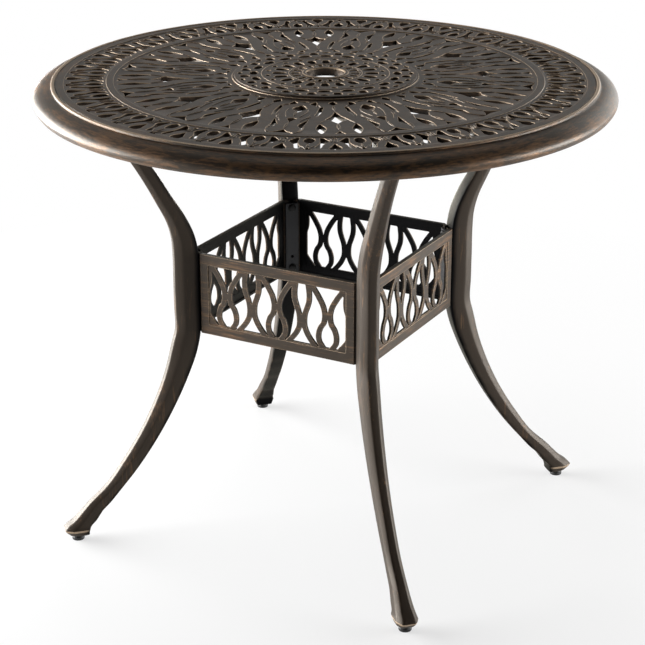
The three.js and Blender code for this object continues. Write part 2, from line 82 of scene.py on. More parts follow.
BORDER_DROP = (
    ((0, .02), (.16, .08), (.225, .24), (.16, .39), (0, .5)),
    ((0, .77), (.06, .87), (.16, .975), (0, .975)),
)
BORDER_CUP = (
    ((0, .03), (.08, .065), (0, .17)),
    ((0, .47), (.11, .64), (.23, .85), (.17, .97), (0, .985)),
)
BORDER_SIDE = (
    ((.44, .02), (.42, .14), (.44, .3), (.42, .46), (.34, .62), (.27, .76), (.31, .85),
     (.42, .87), (.5, .76), (.54, .6), (.66, .44), (.81, .29), (.66, .12), (.54, .03)),
)
ROSETTE_PETAL = (
    ((0, .23), (.34, .235), (.44, .255), (.44, .395), (.34, .415), (0, .42)),
    ((0, .63), (.4, .645), (.62, .69), (.4, .735), (0, .75)),
    ((0, .85), (.33, .887), (0, .924)),
)
ROSETTE_BETWEEN = (
    ((0, .455), (.34, .493), (0, .532)),
    ((0, .76), (.26, .775), (.34, .82), (.26, .875), (0, .89)),
)
ROSETTE_INNER = (((0, .08), (.3, .14), (.33, .5), (.3, .86), (0, .93)),)
ROSETTE_INNER_BETWEEN = (((0, .62), (.22, .77), (0, .93)),)
ROSETTE_LINES = (.191, .58)

# The bands: copies round the axis, degrees to the first axis, spacing of the points along an
# opening's outline, and how far the outlines are narrowed
ROSETTE_BAND = (20, 10, .0022, 0)
ROSETTE_INNER_BAND = (18, 8, .0016, 0)
FIELD_BAND = (12, 2.41, .0026, .0008)
BORDER_BAND = (32, 2.5, .0024, .0001)

# Lines where a strand runs on beside or over its neighbour, from one opening's tip to the next.
# The first group is measured from the crossing or drop axis, the second from the other axis.
FIELD_SEAMS = (
    ((0, .16), (.03, .25), (0, .335)),
    ((.245, .59), (.3, .635), (.345, .675), (.365, .7)),
    ((.57, .49), (.61, .52), (.66, .56)),
    ((.6, .44), (.655, .53), (.745, .61), (.79, .65)),
    ((.56, .16), (.46, .17), (.39, .22)),
    ((0, .69), (-.03, .79), (0, .895)),
    ((.69, .86), (.71, .93), (.76, .99)),
)
FIELD_LOOP_SEAMS = (
    ((.265, .27), (.285, .36), (.22, .457), (.145, .54)),
    ((0, .37), (.02, .44), (0, .5)),
    ((0, .68), (.02, .78), (0, .875)),
    ((.21, .98), (.3, .93), (.34, .86), (.33, .76)),
)
BORDER_SEAMS = (
    ((.02, .51), (-.03, .64), (-.02, .78)),
    ((-.02, .51), (.03, .64), (.02, .78)),
    ((.27, .65), (.2, .75), (.1, .86), (.06, .97)),
)
BORDER_CUP_SEAMS = (
    ((.02, .13), (-.02, .27), (-.02, .42)),
    ((-.02, .13), (.02, .27), (.02, .42)),
    ((.2, .1), (.12, .2), (.1, .3), (.16, .42)),
)

# Width and rise of those lines, and their section: shares of the width and the rise, and wear
# with painted highlight, pale on the crest by the steep side like a lit edge
SEAM_WIDTH, SEAM_RISE = .0030, .0010
SEAM_SECTION = ((-.5, -.3, 0), (-.36, .85, .65), (-.2, 1, .75), (.12, .62, .1), (.5, -.3, 0))

# Strands of a side panel: offset from the crossing's axis as a share of the lattice period, and
# share of the opening's height, from the bottom up for the high crossing, else from the top
HIGH_STRAND = ((.1, 0), (.165, .1), (.175, .18), (.145, .3), (.07, .42), (.052, .54), (.075, .66),
               (.163, .82), (.3, 1))
LOW_STRAND = ((.125, 0), (.145, .18), (.137, .28), (.105, .38), (.06, .5), (.046, .62),
              (.055, .72), (.1, .82), (.165, .91), (.25, 1))

# Leg stations: share of the way out from the waist, share of the way up or down, shares of the
# waist's depth and width, and the outward flat's share of the width
UPPER_LEG = ((.026, .106, .91, 1, .45), (.1045, .229, .77, 1, .45), (.238, .363, .67, .93, .45),
             (.389, .514, .62, .84, .45), (.677, .759, .55, .75, .45), (.896, .922, .53, .73, .45),
             (1, 1, .68, .75, .45))
LOWER_LEG = ((.03, .073, 1.028, 1.018, .45), (.101, .203, .912, .986, .45),
             (.204, .345, .8, .938, .45), (.351, .506, .705, .859, .46),
             (.522, .655, .636, .811, .47), (.716, .794, .572, .8, .5))
FOOT = ((.868, .88, .821, .872, .53), (.935, .925, .918, .986, .57),
        (1.002, .961, 1.026, 1.134, .6), (1.009, .968, 1.064, 1.188, .61))
FOOT_BASE = ((1.008, .9755, 1.015, 1.155, .6), (1.003, .985, .94, 1.057, .6),
             (.991, 1, .816, .97, .6))


def length(name, description, default):
    """A size in metres that the sidebar shows."""
    return FloatProperty(name=name, description=description, default=default, min=0.0,
                         precision=4, unit="LENGTH")


def share(name, description, default):
    """A plain factor from 0 to 1."""
    return FloatProperty(name=name, description=description, default=default, min=0.0, max=1.0,
                         subtype="FACTOR")


def colour(name, description, default):
    """A finish colour, linear."""
    return FloatVectorProperty(name=name, description=description, default=default, size=3,
                               min=0.0, max=1.0, subtype="COLOR")


class TopSizes(bpy.types.PropertyGroup):
    """Sizes of the round openwork casting."""
    height: length("Height", "Floor to the lattice's upper face", .737)
    radius: length("Radius", "Axis to the rim's outermost point", .4467)
    plate: length("Plate", "Thickness of the openwork plate", .008)
    bead_radius: length("Bead radius", "Axis to the bead's crest", .4158)
    bead_width: length("Bead width", "Width of the bead inside the rolled rim", .0058)
    bead_rise: length("Bead rise", "Height of the bead over the lattice", .002)
    roll_width: length("Roll width", "Half width of the rim's ellipse", .0375)
    roll_height: length("Roll height", "Half height of the rim's ellipse", .0195)
    roll_drop: length("Roll drop", "Lattice face down to the ellipse's centre", .0213)
    skirt: length("Skirt", "Straight wall below the roll", .001)
    wall: length("Wall", "Thickness of the rim's wall", .005)
    border_outer: length("Border outer", "Outer radius of the looped border", .3976)
    border_inner: length("Border inner", "Inner radius of the looped border", .338)
    field_outer: length("Field outer", "Outer radius of the main field", .323)
    band_rise: length("Band rise", "Height of the two plain bands beside the border", .001)
    medallion_radius: length("Medallion radius", "Outer radius of the raised medallion", .1436)
    medallion_rise: length("Medallion rise", "Medallion face over the lattice face", .0052)
    step_width: length("Step width", "Tread of the medallion's step", .0035)
    step_rise: length("Step rise", "Height of the medallion's step", .0026)
    hole_radius: length("Hole radius", "Radius of the umbrella hole", .029)
    ring_width: length("Ring width", "Width of the plain ring round the hole", .007)
    ring_rise: length("Ring rise", "Height of that ring over the medallion", .0016)
    medallion: length("Medallion", "Thickness of the raised medallion", .0112)
    edge: length("Edge", "Rounding of the lattice's edges", .0009)
    pad_drop: length("Pad drop", "Leg pads below the plate", .010)
    segments: IntProperty(name="Segments", description="Steps round the top", default=288, min=24)


class LegSizes(bpy.types.PropertyGroup):
    """Sizes of one curved leg."""
    foot_radius: length("Foot radius", "Axis to the middle of a foot", .4179)
    waist_radius: length("Waist radius", "Axis to the middle of the waist", .2278)
    depth: length("Depth", "Depth of the bar at the waist", .039)
    width: length("Width", "Width of the bar", .030)
    shoulder: share("Shoulder", "Where the chamfers start, as a share of the depth", .67)
    foot_height: length("Foot height", "Floor to the underside of the foot block", .010)
    flange_length: length("Flange length", "Flange that bolts to the top, outwards", .046)
    flange_width: length("Flange width", "Flange that bolts to the top, across", .064)
    flange: length("Flange", "Thickness of that flange", .006)
    flange_radius: length("Flange radius", "Axis to the middle of the flange", .358)
    bolt_spacing: length("Bolt spacing", "Distance between the two bolts of a flange", .046)


class PanelSizes(bpy.types.PropertyGroup):
    """Sizes of one openwork side panel."""
    top: length("Top", "Floor to the panel's top edge", .474)
    bottom: length("Bottom", "Floor to the panel's bottom edge", .342)
    half: length("Half length", "Middle to the end of the flat face", .13506)
    plane: length("Plane", "Axis to the panel's outside face", .1591)
    thickness: length("Thickness", "Thickness of rails and stiles", .006)
    rail: length("Rail", "Height of the rails", .0165)
    stile: length("Stile", "Width of the stiles", .014)
    recess: length("Recess", "Lattice behind the frame's face", .0013)
    lattice: length("Lattice", "Thickness of the lattice", .0042)
    lip: length("Lip", "Lattice edge showing inside the frame", .0014)
    period: length("Period", "Distance between like crossings", .0884)
    strand: length("Strand", "Width of a strand", .0084)
    shelf: length("Shelf", "Depth of the inward shelf", .008)
    shelf_thickness: length("Shelf thickness", "Thickness of the shelf", .004)
    slant: length("Slant", "Run of the mitred end flange", .0091924)
    end: length("End", "Thickness of the end flange", .0050)


class FastenerSizes(bpy.types.PropertyGroup):
    """Sizes of strips, bolts, washers and glides."""
    strip_width: length("Strip width", "Width of a corner strip", .022)
    strip: length("Strip", "Thickness of a corner strip", .004)
    strip_face: length("Strip face", "Axis to the strip's outward face", .2027)
    spare_hole: length("Spare hole", "Radius of the strip's spare hole", .0024)
    bolt: length("Bolt", "Radius of the bolts' shanks", .003)
    head: length("Head", "Radius of the bolts' round heads", .0065)
    head_height: length("Head height", "Height of the bolts' heads", .0036)
    bite: length("Bite", "How far a bolt reaches into its casting", .008)
    inset: length("Inset", "Corner bolt to the panel's edge", .0125)
    washer: length("Washer", "Radius of the washers", .0075)
    washer_thickness: length("Washer thickness", "Thickness of the washers", .0015)
    glide: length("Glide", "Radius of a levelling glide", .010)
    glide_foot: length("Glide foot", "Height of the glide's rim", .006)
    neck: length("Neck", "Radius of the glide's neck", .0065)
    stud: length("Stud", "Radius of the glide's stud", .004)
    stud_length: length("Stud length", "Length of the glide's stud", .018)
    gap: length("Gap", "Clearance between seated pieces", .0003)


class FinishColours(bpy.types.PropertyGroup):
    """Colours of the brushed bronze paint and the fittings."""
    ground: colour("Ground", "Dark paint under the brushing", (.028, .0185, .012))
    brown: colour("Brown", "Brown of the brushing", (.105, .056, .027))
    copper: colour("Copper", "Bright copper patches", (.32, .16, .07))
    # Edge is rubbed copper wear, and a painted highlight on edges and crests
    edge: colour("Edge", "Rubbed edges", (.38, .28, .19))
    # Black is the unbrushed dark coat, made near black and unreflecting as painted shade
    black: colour("Black", "Unbrushed inner sides", (.006, .006, .0065))
    steel: colour("Steel", "Plated bolts and washers", (.035, .034, .033))
    pad: colour("Pad", "Moulded glide pads", (.012, .012, .012))


class StageSettings(bpy.types.PropertyGroup):
    """Floor, light and camera."""
    floor: colour("Floor", "Colour of the floor", (.62, .62, .62))
    lamp: FloatProperty(name="Lamp", description="Strength of the lamps", default=50.0)
    sky: FloatProperty(name="Sky", description="Strength of the surrounding light", default=.66)
    near: share("Near", "Share of plain white in the floor under the table", .6)


SETTINGS = {
    "table_top": TopSizes, "table_legs": LegSizes, "table_panels": PanelSizes,
    "table_fasteners": FastenerSizes, "table_finish": FinishColours, "table_stage": StageSettings,
}


# Surfaces

TINY = 1e-12    # keeps a division by a length of zero from failing
WELD = 2e-6     # points closer than this become one


def unit(vectors):
    """The vectors with their lengths made 1."""
    return vectors / (np.linalg.norm(vectors, axis=1)[:, None] + TINY)
def ring_quads(rings, columns):
    """Quads between neighbouring rings of a grid whose columns close into a ring."""
    row = np.arange(rings - 1)[:, None] * columns
    column = np.arange(columns)[None, :]
    following = (column + 1) % columns
    return np.stack([row + column, row + following, row + columns + following,
                     row + columns + column], -1).reshape(-1, 4)


def turned(profile, segments):
    """A profile of (radius, height, wear and highlight) carried round the Z axis.
    x = radius cos angle, y = radius sin angle, z = height."""
    profile = np.asarray(profile, float)
    angle = np.linspace(0, 2 * np.pi, segments, endpoint=False)
    radius, height, wear_and_highlight = (np.repeat(column[:, None], segments, 1) for column in profile.T)
    points = np.stack([radius * np.cos(angle), radius * np.sin(angle), height], -1)
    return points.reshape(-1, 3), [ring_quads(len(profile), segments)], wear_and_highlight.ravel()


def smooth_through(points, steps, closed=True):
    """A curve through the points. Each stretch is a cubic of its share t from 0 to 1, and its
    slope at a point is the mean of the chords on both sides, weighted by their lengths."""
    points = np.asarray(points, float)
    chord = np.roll(points, -1, 0) - points
    if not closed:
        chord[-1] = chord[-2]
    run = np.linalg.norm(chord[:, :2], axis=1)[:, None] + TINY
    before = np.roll(run, 1, 0)
    heading = chord / run
    back = np.roll(heading, 1, 0)
    if not closed:
        before[0], back[0] = run[0], heading[0]
    slope = (heading * before + back * run) / (before + run)
    t = np.linspace(0, 1, steps, endpoint=False)[:, None, None]
    ahead, slope_ahead = np.roll(points, -1, 0), np.roll(slope, -1, 0)
    curve = ((2 * t ** 3 - 3 * t ** 2 + 1) * points + (t ** 3 - 2 * t ** 2 + t) * slope * run
             + (3 * t ** 2 - 2 * t ** 3) * ahead + (t ** 3 - t ** 2) * slope_ahead * run)
    curve = curve.transpose(1, 0, 2)
    if closed:
        return curve.reshape(-1, points.shape[1])
    return np.vstack([curve[:-1].reshape(-1, points.shape[1]), points[-1:]])


def even_steps(loop, spacing, least=14, most=56):
    """The closed loop walked in even steps, an even number of them, from its first point."""
    shut = np.vstack([loop, loop[:1]])
    travelled = np.append(0, np.cumsum(np.linalg.norm(np.diff(shut, axis=0), axis=1)))
    count = 2 * int(np.clip(round(travelled[-1] / spacing / 2), least // 2, most // 2))
    stops = np.linspace(0, travelled[-1], count, endpoint=False)
    return np.stack([np.interp(stops, travelled, shut[:, axis]) for axis in (0, 1)], -1)


def anticlockwise(loop):
    """The loop with its inside on the left."""
    ahead = np.roll(loop, -1, 0)
    area = (loop[:, 0] * ahead[:, 1] - loop[:, 1] * ahead[:, 0]).sum()
    return loop if area > 0 else loop[::-1]


def moved_out(loop, distance, least=.62):
    """Each point moves along the mean of its two edge normals, divided by the cosine between
    that mean and the edge's normal, so that every edge moves by the distance. A sharp tip moves
    less, because the cosine counts as no less than the least."""
    edge = np.roll(loop, -1, 0) - loop
    normal = unit(np.stack([edge[:, 1], -edge[:, 0]], -1))
    mean = unit(normal + np.roll(normal, 1, 0))
    cosine = np.clip((mean * normal).sum(1), least, 1)
    return loop + distance * mean / cosine[:, None]


def narrowed(loop, inset):
    """Each point moves inwards by the inset, or by a third of the gap to the far side where
    that is less. The gap is the distance to the nearest point within 60 degrees of the normal."""
    ahead = np.roll(loop, -1, 0) - np.roll(loop, 1, 0)
    inwards = unit(np.stack([-ahead[:, 1], ahead[:, 0]], -1))
    apart = loop[None] - loop[:, None]
    far = np.linalg.norm(apart, axis=2) + TINY
    facing = (apart * inwards[:, None]).sum(2) > .5 * far
    gap = np.where(facing, far, 1).min(1)
    return loop + inwards * np.minimum(inset, gap / 3)[:, None]


def edge_profile(top, bottom, edge, line=.0003):
    """Rows of (distance into the metal, height, wear and highlight) from the upper face down the
    wall: a narrow flat line, a quarter round, and a straight wall. The quarter round is pale as
    rubbed wear and as a painted highlight on the rounded edge."""
    return np.array([
        (edge + line, top, 0), (edge, top, .75), (.3 * edge, top - .3 * edge, 1),
        (0, top - edge, .7), (0, top - edge - line, .05), (0, bottom, 0),
    ])


def wall_round(loop, profile, side=1):
    """The edge profile carried round a loop: side 1 for an opening, -1 for an outer outline."""
    rings = [np.column_stack([moved_out(loop, side * inset), np.full(len(loop), height)])
             for inset, height, _ in profile]
    wear_and_highlight = np.repeat(profile[:, 2], len(loop))
    quads = ring_quads(len(profile), len(loop))
    return np.vstack(rings), [quads if side > 0 else quads[:, ::-1]], wear_and_highlight


def flat_face(loops, height, up=True):
    """Triangles of the flat region between the loops, from a constrained Delaunay net. A
    triangle is kept where only the outermost loop is round it."""
    points = [Vector(point) for loop in loops for point in loop]
    starts = np.cumsum([0] + [len(loop) for loop in loops])
    outlines = [list(range(start, start + len(loop))) for start, loop in zip(starts, loops)]
    found, _, faces, _, _, inside = delaunay_2d_cdt(points, [], outlines, 1, 1e-7)
    flat = np.array([(point.x, point.y, height) for point in found])
    kept = [face for face, around in zip(faces, inside) if len(around) == 1]
    triangles = np.array([face if up else face[::-1] for face in kept], int)
    return flat, [triangles], np.zeros(len(flat))


def openwork(outline, openings, top, bottom, edge, borders=()):
    """A slab between two heights with bevelled openings. The outline, if there is one, gets
    the same edge; the borders are loops that another surface continues."""
    profile = edge_profile(top, bottom, edge)
    shells = [wall_round(loop, profile) for loop in openings]
    upper = [moved_out(loop, profile[0, 0]) for loop in openings] + [pair[0] for pair in borders]
    lower = list(openings) + [pair[1] for pair in borders]
    if outline is not None:
        shells.append(wall_round(outline, profile, side=-1))
        upper.append(moved_out(outline, -profile[0, 0]))
        lower.append(outline)
    return shells + [flat_face(upper, top), flat_face(lower, bottom, up=False)]


def ridge(path, height):
    """The edge of a strand that lies over its neighbour: a five-sided section, steep on one
    side, whose width and rise fall to nothing at both ends, as the fourth root of the sine of
    the way along."""
    heading = unit(np.gradient(path, axis=0))
    across = np.stack([-heading[:, 1], heading[:, 0]], -1)
    size = np.clip(np.sin(np.linspace(0, np.pi, len(path))), 0, 1)[:, None] ** .25
    sideways, upwards, wear_and_highlight = np.array(SEAM_SECTION).T
    flat = path[:, None] + across[:, None] * (sideways * size * SEAM_WIDTH)[..., None]
    level = height + upwards * size * SEAM_RISE
    points = np.concatenate([flat, level[..., None]], -1)
    return points.reshape(-1, 3), [ring_quads(len(path), len(wear_and_highlight))], np.tile(wear_and_highlight, len(path))


def placed(shells, axes, origin=(0, 0, 0)):
    """Shells with their three coordinates laid along the given axes."""
    axes, origin = np.asarray(axes, float), np.asarray(origin, float)
    return [(points @ axes + origin, faces, wear_and_highlight) for points, faces, wear_and_highlight in shells]


def quarter_turned(shells, degrees):
    """Shells turned about the table's axis."""
    c, s = math.cos(math.radians(degrees)), math.sin(math.radians(degrees))
    return placed(shells, ((c, s, 0), (-s, c, 0), (0, 0, 1)))


def circle(radius, segments, centre=(0, 0)):
    """A ring of points at one radius."""
    angle = np.linspace(0, 2 * np.pi, segments, endpoint=False)
    return np.stack([centre[0] + radius * np.cos(angle), centre[1] + radius * np.sin(angle)], -1)


def rounded_box(width, height, radius, steps=4):
    """Outline of a rectangle about the origin with quarter-round corners."""
    quarter = np.linspace(0, np.pi / 2, steps)
    arcs = []
    for turn, (x, y) in enumerate(((1, 1), (-1, 1), (-1, -1), (1, -1))):
        angle = quarter + turn * np.pi / 2
        middle = (x * (width / 2 - radius), y * (height / 2 - radius))
        arcs.append(np.stack([middle[0] + radius * np.cos(angle),
                              middle[1] + radius * np.sin(angle)], -1))
    return np.vstack(arcs)


def all_points(shells):
    """The points of all the shells, in their order."""
    return np.vstack([points for points, _, _ in shells])


def make_piece(name, shells, material, node, slot, body="root", smooth=38, brushed=None):
    """One mesh of all the shells, welded and facing outwards, that stands for a CAD node. Its
    wear with painted highlight, and its brushed share if that isn't 1 all over, where 0 is black
    painted shade, are kept on the points."""
    points = all_points(shells)
    wear_and_highlight = np.concatenate([worn_and_highlit for _, _, worn_and_highlit in shells])
    if brushed is None:
        brushed = np.ones(len(points))
    faces, start = [], 0
    for shell_points, blocks, _ in shells:
        for block in blocks:
            faces.extend((np.asarray(block) + start).tolist())
        start += len(shell_points)
    mesh = bpy.data.meshes.new(name)
    mesh.from_pydata(points.tolist(), [], faces)
    for key, numbers in (("wear_and_highlight", wear_and_highlight), ("brushed", brushed)):
        mesh.attributes.new(key, "FLOAT", "POINT").data.foreach_set("value", numbers)
    net = bmesh.new()
    net.from_mesh(mesh)
    bmesh.ops.remove_doubles(net, verts=net.verts, dist=WELD)
    bmesh.ops.dissolve_degenerate(net, edges=net.edges, dist=WELD / 2)
    bmesh.ops.recalc_face_normals(net, faces=net.faces)
    net.to_mesh(mesh)
    net.free()
    mesh.shade_smooth()
    mesh.set_sharp_from_angle(angle=math.radians(smooth))
    piece = bpy.data.objects.new(name, mesh)
    bpy.context.scene.collection.objects.link(piece)
    mesh.materials.append(material)
    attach(piece, body)
    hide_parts(node)


def make_four(stem, shells, material, node, slot, names=CORNERS, first=45, body="root",
              **finish):
    """Four like pieces, a quarter turn apart. Piece, node and any body other than the root are
    named by their stem and the place's name."""
    for quarter, name in enumerate(names):
        make_piece(stem + name, quarter_turned(shells, first + 90 * quarter), material,
                   node + name, slot, body if body == "root" else body + name, **finish)


# Finishes

class NodeSheet:
    """A short way to write the nodes of a material or a world: sockets are linked, numbers are
    set."""

    def __init__(self, owner):
        owner.use_nodes = True
        self.owner = owner
        self.tree = owner.node_tree
        self.shader = self.tree.nodes.get("Principled BSDF")

    def add(self, kind, inputs=None, output=0, **settings):
        """A node with its settings and inputs; gives back one of its outputs."""
        node = self.tree.nodes.new(kind)
        for key, value in settings.items():
            setattr(node, key, value)
        for key, value in (inputs or {}).items():
            self.put(node.inputs[key], value)
        return node.outputs[output]

    def put(self, socket, value):
        """Links a socket or sets a plain value."""
        if isinstance(value, bpy.types.NodeSocket):
            self.tree.links.new(value, socket)
        else:
            socket.default_value = value

    def surface(self, inputs):
        """Sets or links inputs of the material's shader."""
        for key, value in inputs.items():
            self.put(self.shader.inputs[key], value)

    def maths(self, operation, first, second=0.0):
        """One Math node."""
        return self.add("ShaderNodeMath", {0: first, 1: second}, operation=operation)

    def times(self, first, second):
        """The product of two values."""
        return self.maths("MULTIPLY", first, second)

    def plus(self, first, second):
        """The sum of two values."""
        return self.maths("ADD", first, second)

    def mix(self, factor, first, second):
        """Two colours mixed by a factor."""
        first, second = (value if isinstance(value, bpy.types.NodeSocket) else (*value, 1)
                         for value in (first, second))
        return self.add("ShaderNodeMix", {0: factor, 6: first, 7: second}, output=2,
                        data_type="RGBA")

    def noise(self, vector, scale, detail=3.0, rough=.55):
        """Noise from about 0.3 to 0.7 on a vector."""
        return self.add("ShaderNodeTexNoise", {"Vector": vector, "Scale": scale,
                                               "Detail": detail, "Roughness": rough})

    def between(self, value, low, high, smooth=True):
        """A value spread so that low gives 0 and high gives 1."""
        return self.ramp(value, low, high, 0.0,
                         interpolation_type="SMOOTHSTEP" if smooth else "LINEAR")

    def place(self):
        """The point's place on the object."""
        return self.add("ShaderNodeTexCoord", output=3)

    def stretched(self, x, y, z):
        """The place with each axis scaled, for streaks along the least scaled axis."""
        return self.add("ShaderNodeMapping", {"Vector": self.place(), "Scale": (x, y, z)})

    def round_the_axis(self, along, across):
        """Place as (angle round Z, radius, height), for streaks that run round the table."""
        split = self.tree.nodes.new("ShaderNodeSeparateXYZ")
        self.put(split.inputs[0], self.place())
        x, y, z = split.outputs
        radius = self.maths("SQRT", self.plus(self.times(x, x), self.times(y, y)))
        return self.add("ShaderNodeCombineXYZ", {
            0: self.times(self.maths("ARCTAN2", y, x), along), 1: self.times(radius, across),
            2: self.times(z, across)})

    def ramp(self, value, near, far, least, most=1.0, **settings):
        """A value that runs from the least at near to the most at far, and no further."""
        return self.add("ShaderNodeMapRange", {
            "Value": value, "From Min": near, "From Max": far, "To Min": least, "To Max": most},
            **settings)

    def outwards(self, near, far, least):
        """A factor that rises from its least value to 1 between two distances from the axis."""
        flat = self.add("ShaderNodeVectorMath", {0: self.place(), 1: (1, 1, 0)},
                        operation="MULTIPLY")
        reach = self.add("ShaderNodeVectorMath", {0: flat}, output=1, operation="LENGTH")
        return self.ramp(reach, near, far, least)

    def value(self, name):
        """A number kept on the mesh points."""
        return self.add("ShaderNodeAttribute", output=2, attribute_name=name)


def brushed_bronze(name, streaks, brown=.55, copper=.35, roughness=.36, warm=None, rub_and_highlight=1.0):
    """Antique bronze: dark paint brushed with brown and copper along the streaks, rubbed bright
    on the edges, where the pale rub is also a painted highlight, and black where the brush did
    not reach, an unbrushed coat made black and unreflecting as painted shade. Half of the
    pattern is fine streaks, a quarter wide streaks and a quarter patches. Brown and copper start
    at a level of it that falls as their shares rise. Where warm is 0 it keeps to the dark paint."""
    finish = bpy.context.scene.table_finish
    sheet = NodeSheet(bpy.data.materials.new(name))
    vector, place = streaks(sheet), sheet.place()
    brush = sheet.noise(vector, 1.0, detail=6.0, rough=.65)
    wide = sheet.noise(vector, .3, rough=.5)
    patch = sheet.noise(place, 14.0, detail=4.0, rough=.6)
    speckle = sheet.noise(place, 600.0, detail=2.0)
    pattern = sheet.plus(sheet.times(brush, .5),
                         sheet.plus(sheet.times(wide, .25), sheet.times(patch, .25)))
    shares = [sheet.between(pattern, low, low + .12) for low in (.62 - .25 * brown,
                                                                 .64 - .12 * copper)]
    if warm:
        warmth = warm(sheet)
        shares = [sheet.times(part, warmth) for part in shares]
    # Rubbed wear on edges and crests, pale also as a painted highlight there
    rubbed_and_highlit = sheet.between(sheet.times(sheet.times(sheet.value("wear_and_highlight"), rub_and_highlight),
                                       sheet.plus(speckle, pattern)), .34, .86)
    shade = tuple(finish.ground)
    for factor, coat in zip((*shares, rubbed_and_highlit), (finish.brown, finish.copper, finish.edge)):
        shade = sheet.mix(factor, shade, tuple(coat))
    brushed = sheet.value("brushed")
    relief = sheet.plus(sheet.times(brush, .6), sheet.times(speckle, .4))
    sheet.surface({
        # Unbrushed parts are black and fully metallic, so they reflect nothing: painted shade
        "Base Color": sheet.mix(brushed, tuple(finish.black), shade),
        "Metallic": sheet.maths("SUBTRACT", 1, sheet.times(brushed, .7)),
        "Specular Tint": (1, .97, .89, 1),
        "Specular IOR Level": .42,
        "Roughness": sheet.plus(roughness - .1, sheet.times(sheet.plus(brush, speckle), .2)),
        "Normal": sheet.add("ShaderNodeBump", {"Strength": .4, "Distance": .0003,
                                               "Height": relief}),
    })
    return sheet.owner


def plain_finish(name, shade, evenness, metallic, grain):
    """A plain paint, plating or moulding with a fine grain in its colour, gloss and relief. Its
    roughness is about a half, and varies with the grain less where the evenness is higher."""
    sheet = NodeSheet(bpy.data.materials.new(name))
    speckle = sheet.noise(sheet.place(), grain)
    dull = tuple(.6 * value for value in shade)
    sheet.surface({
        "Base Color": sheet.mix(speckle, dull, tuple(shade)),
        "Metallic": metallic,
        "Roughness": sheet.between(speckle, .2 - evenness, .8 + evenness, smooth=False),
        "Normal": sheet.add("ShaderNodeBump", {"Strength": .25, "Distance": .0002,
                                               "Height": speckle}),
    })
    return sheet.owner


# The tabletop casting

JOIN = .0008        # strip of a turned profile that lies in the flat face it joins
ROLL_END = -26      # angle at which the rim's ellipse ends, below its centre's level
SHADED_UNDERSIDE = .003    # height over the plate's underside up to which it is unbrushed black painted shade


def on_band(shares, inner, outer, half, way=1):
    """Shares laid on a band: the angle is the first share of half a period, to one side or the
    other, and the radius runs from the inner to the outer one by the second share."""
    shares = np.asarray(shares, float)
    reach = inner + shares[:, 1] * (outer - inner)
    turn = way * shares[:, 0] * half
    return np.stack([reach * np.cos(turn), reach * np.sin(turn)], -1)


def turned_copies(path, copies, start, shift):
    """The path turned to each of its places round the axis."""
    angles = math.radians(start) + 2 * math.pi / copies * np.arange(copies) + shift
    turns = ((math.cos(angle), math.sin(angle)) for angle in angles)
    return [path @ np.array(((c, s), (-s, c))) for c, s in turns]


def band_loops(inner, outer, band, crossing, loop, side=()):
    """Openings of one band. A loop that starts and ends on its axis is mirrored in it, with a
    sharp tip at both ends. A side loop stands on both sides of the crossing's axis."""
    copies, start, spacing, inset = band
    half = math.pi / copies
    families = [(shares, 0, 1) for shares in crossing]
    families += [(shares, half, 1) for shares in loop]
    families += [(shares, 0, way) for shares in side for way in (1, -1)]
    loops = []
    for shares, shift, way in families:
        flat = on_band(shares, inner, outer, half, way)
        if shares[0][0] == shares[-1][0] == 0:
            flat = smooth_through(flat, 8, closed=False)
            flat = np.vstack([flat, flat[-2:0:-1] * (1, -1)])
        else:
            flat = smooth_through(flat, 8)
        flat = narrowed(even_steps(anticlockwise(flat), spacing), inset)
        loops += turned_copies(flat, copies, start, shift)
    return loops


def band_seams(inner, outer, band, crossing, loop, height):
    """The raised lines of one band, in shares like its openings, each with its mirror image."""
    copies, start = band[:2]
    half = math.pi / copies
    shells = []
    for group, shift in ((crossing, 0), (loop, half)):
        for shares in group:
            for way in (1, -1):
                path = smooth_through(on_band(shares, inner, outer, half, way), 4, closed=False)
                shells += [ridge(copy, height)
                           for copy in turned_copies(path, copies, start, shift)]
    return shells


# In the turned profiles below, the third number is wear with painted highlight, pale on crests
def hole_profile(bore, under, ring, floor, raised, crest):
    """The plain ring round the umbrella hole: from the collar's underside up through the hole,
    over the ring's rounded edges and down to the medallion's face."""
    return [
        (under, floor, 0), (under - .0004, floor - .0005, 0), (bore + .0004, floor - .0005, 0),
        (bore, floor - .0001, 0), (bore, crest - .0024, .2),
        (bore, crest - .0018, .9), (bore + .0005, crest - .0007, 1), (bore + .0017, crest, 1),
        (bore + .0024, crest, .3), (ring - .0022, crest, .1), (ring - .0015, crest, .8),
        (ring - .0004, crest - .0004, 1), (ring, raised + .0006, .5), (ring + JOIN, raised, 0),
    ]


def step_profile(step, outer, raised, tread, top):
    """The medallion's edge: from its face down to the tread, and from there to the lattice."""
    return [
        (step - JOIN, raised, 0), (step - .0002, raised - .0002, .5), (step, raised - .0008, .3),
        (step, tread + .0004, 0), (step + .0004, tread, 0), (outer - .0012, tread, .2),
        (outer - .0004, tread - .0002, 1), (outer, tread - .0009, .7), (outer, top + .0005, 0),
        (outer + .0006, top, 0),
    ]


def line_profile(radius, face):
    """A thin raised ring on the medallion, closed just below its face."""
    return [(radius + out, face + up, wear_and_highlight) for out, up, wear_and_highlight in (
        (-.0008, -.0002, 0), (-.0005, .0004, .8), (0, .0006, 1), (.0005, .0004, .8),
        (.0008, -.0002, 0), (-.0008, -.0002, 0))]


def slope_profile(start, way, top, rise, wear_and_highlight):
    """The edge of a plain band, from the lattice's face up to the band's."""
    return [(start + way * out, top + up * rise, worn_and_highlit) for out, up, worn_and_highlit in (
        (0, 0, 0), (.0003, .2, .2), (.0009, 1, wear_and_highlight), (.0016, 1, .1))]


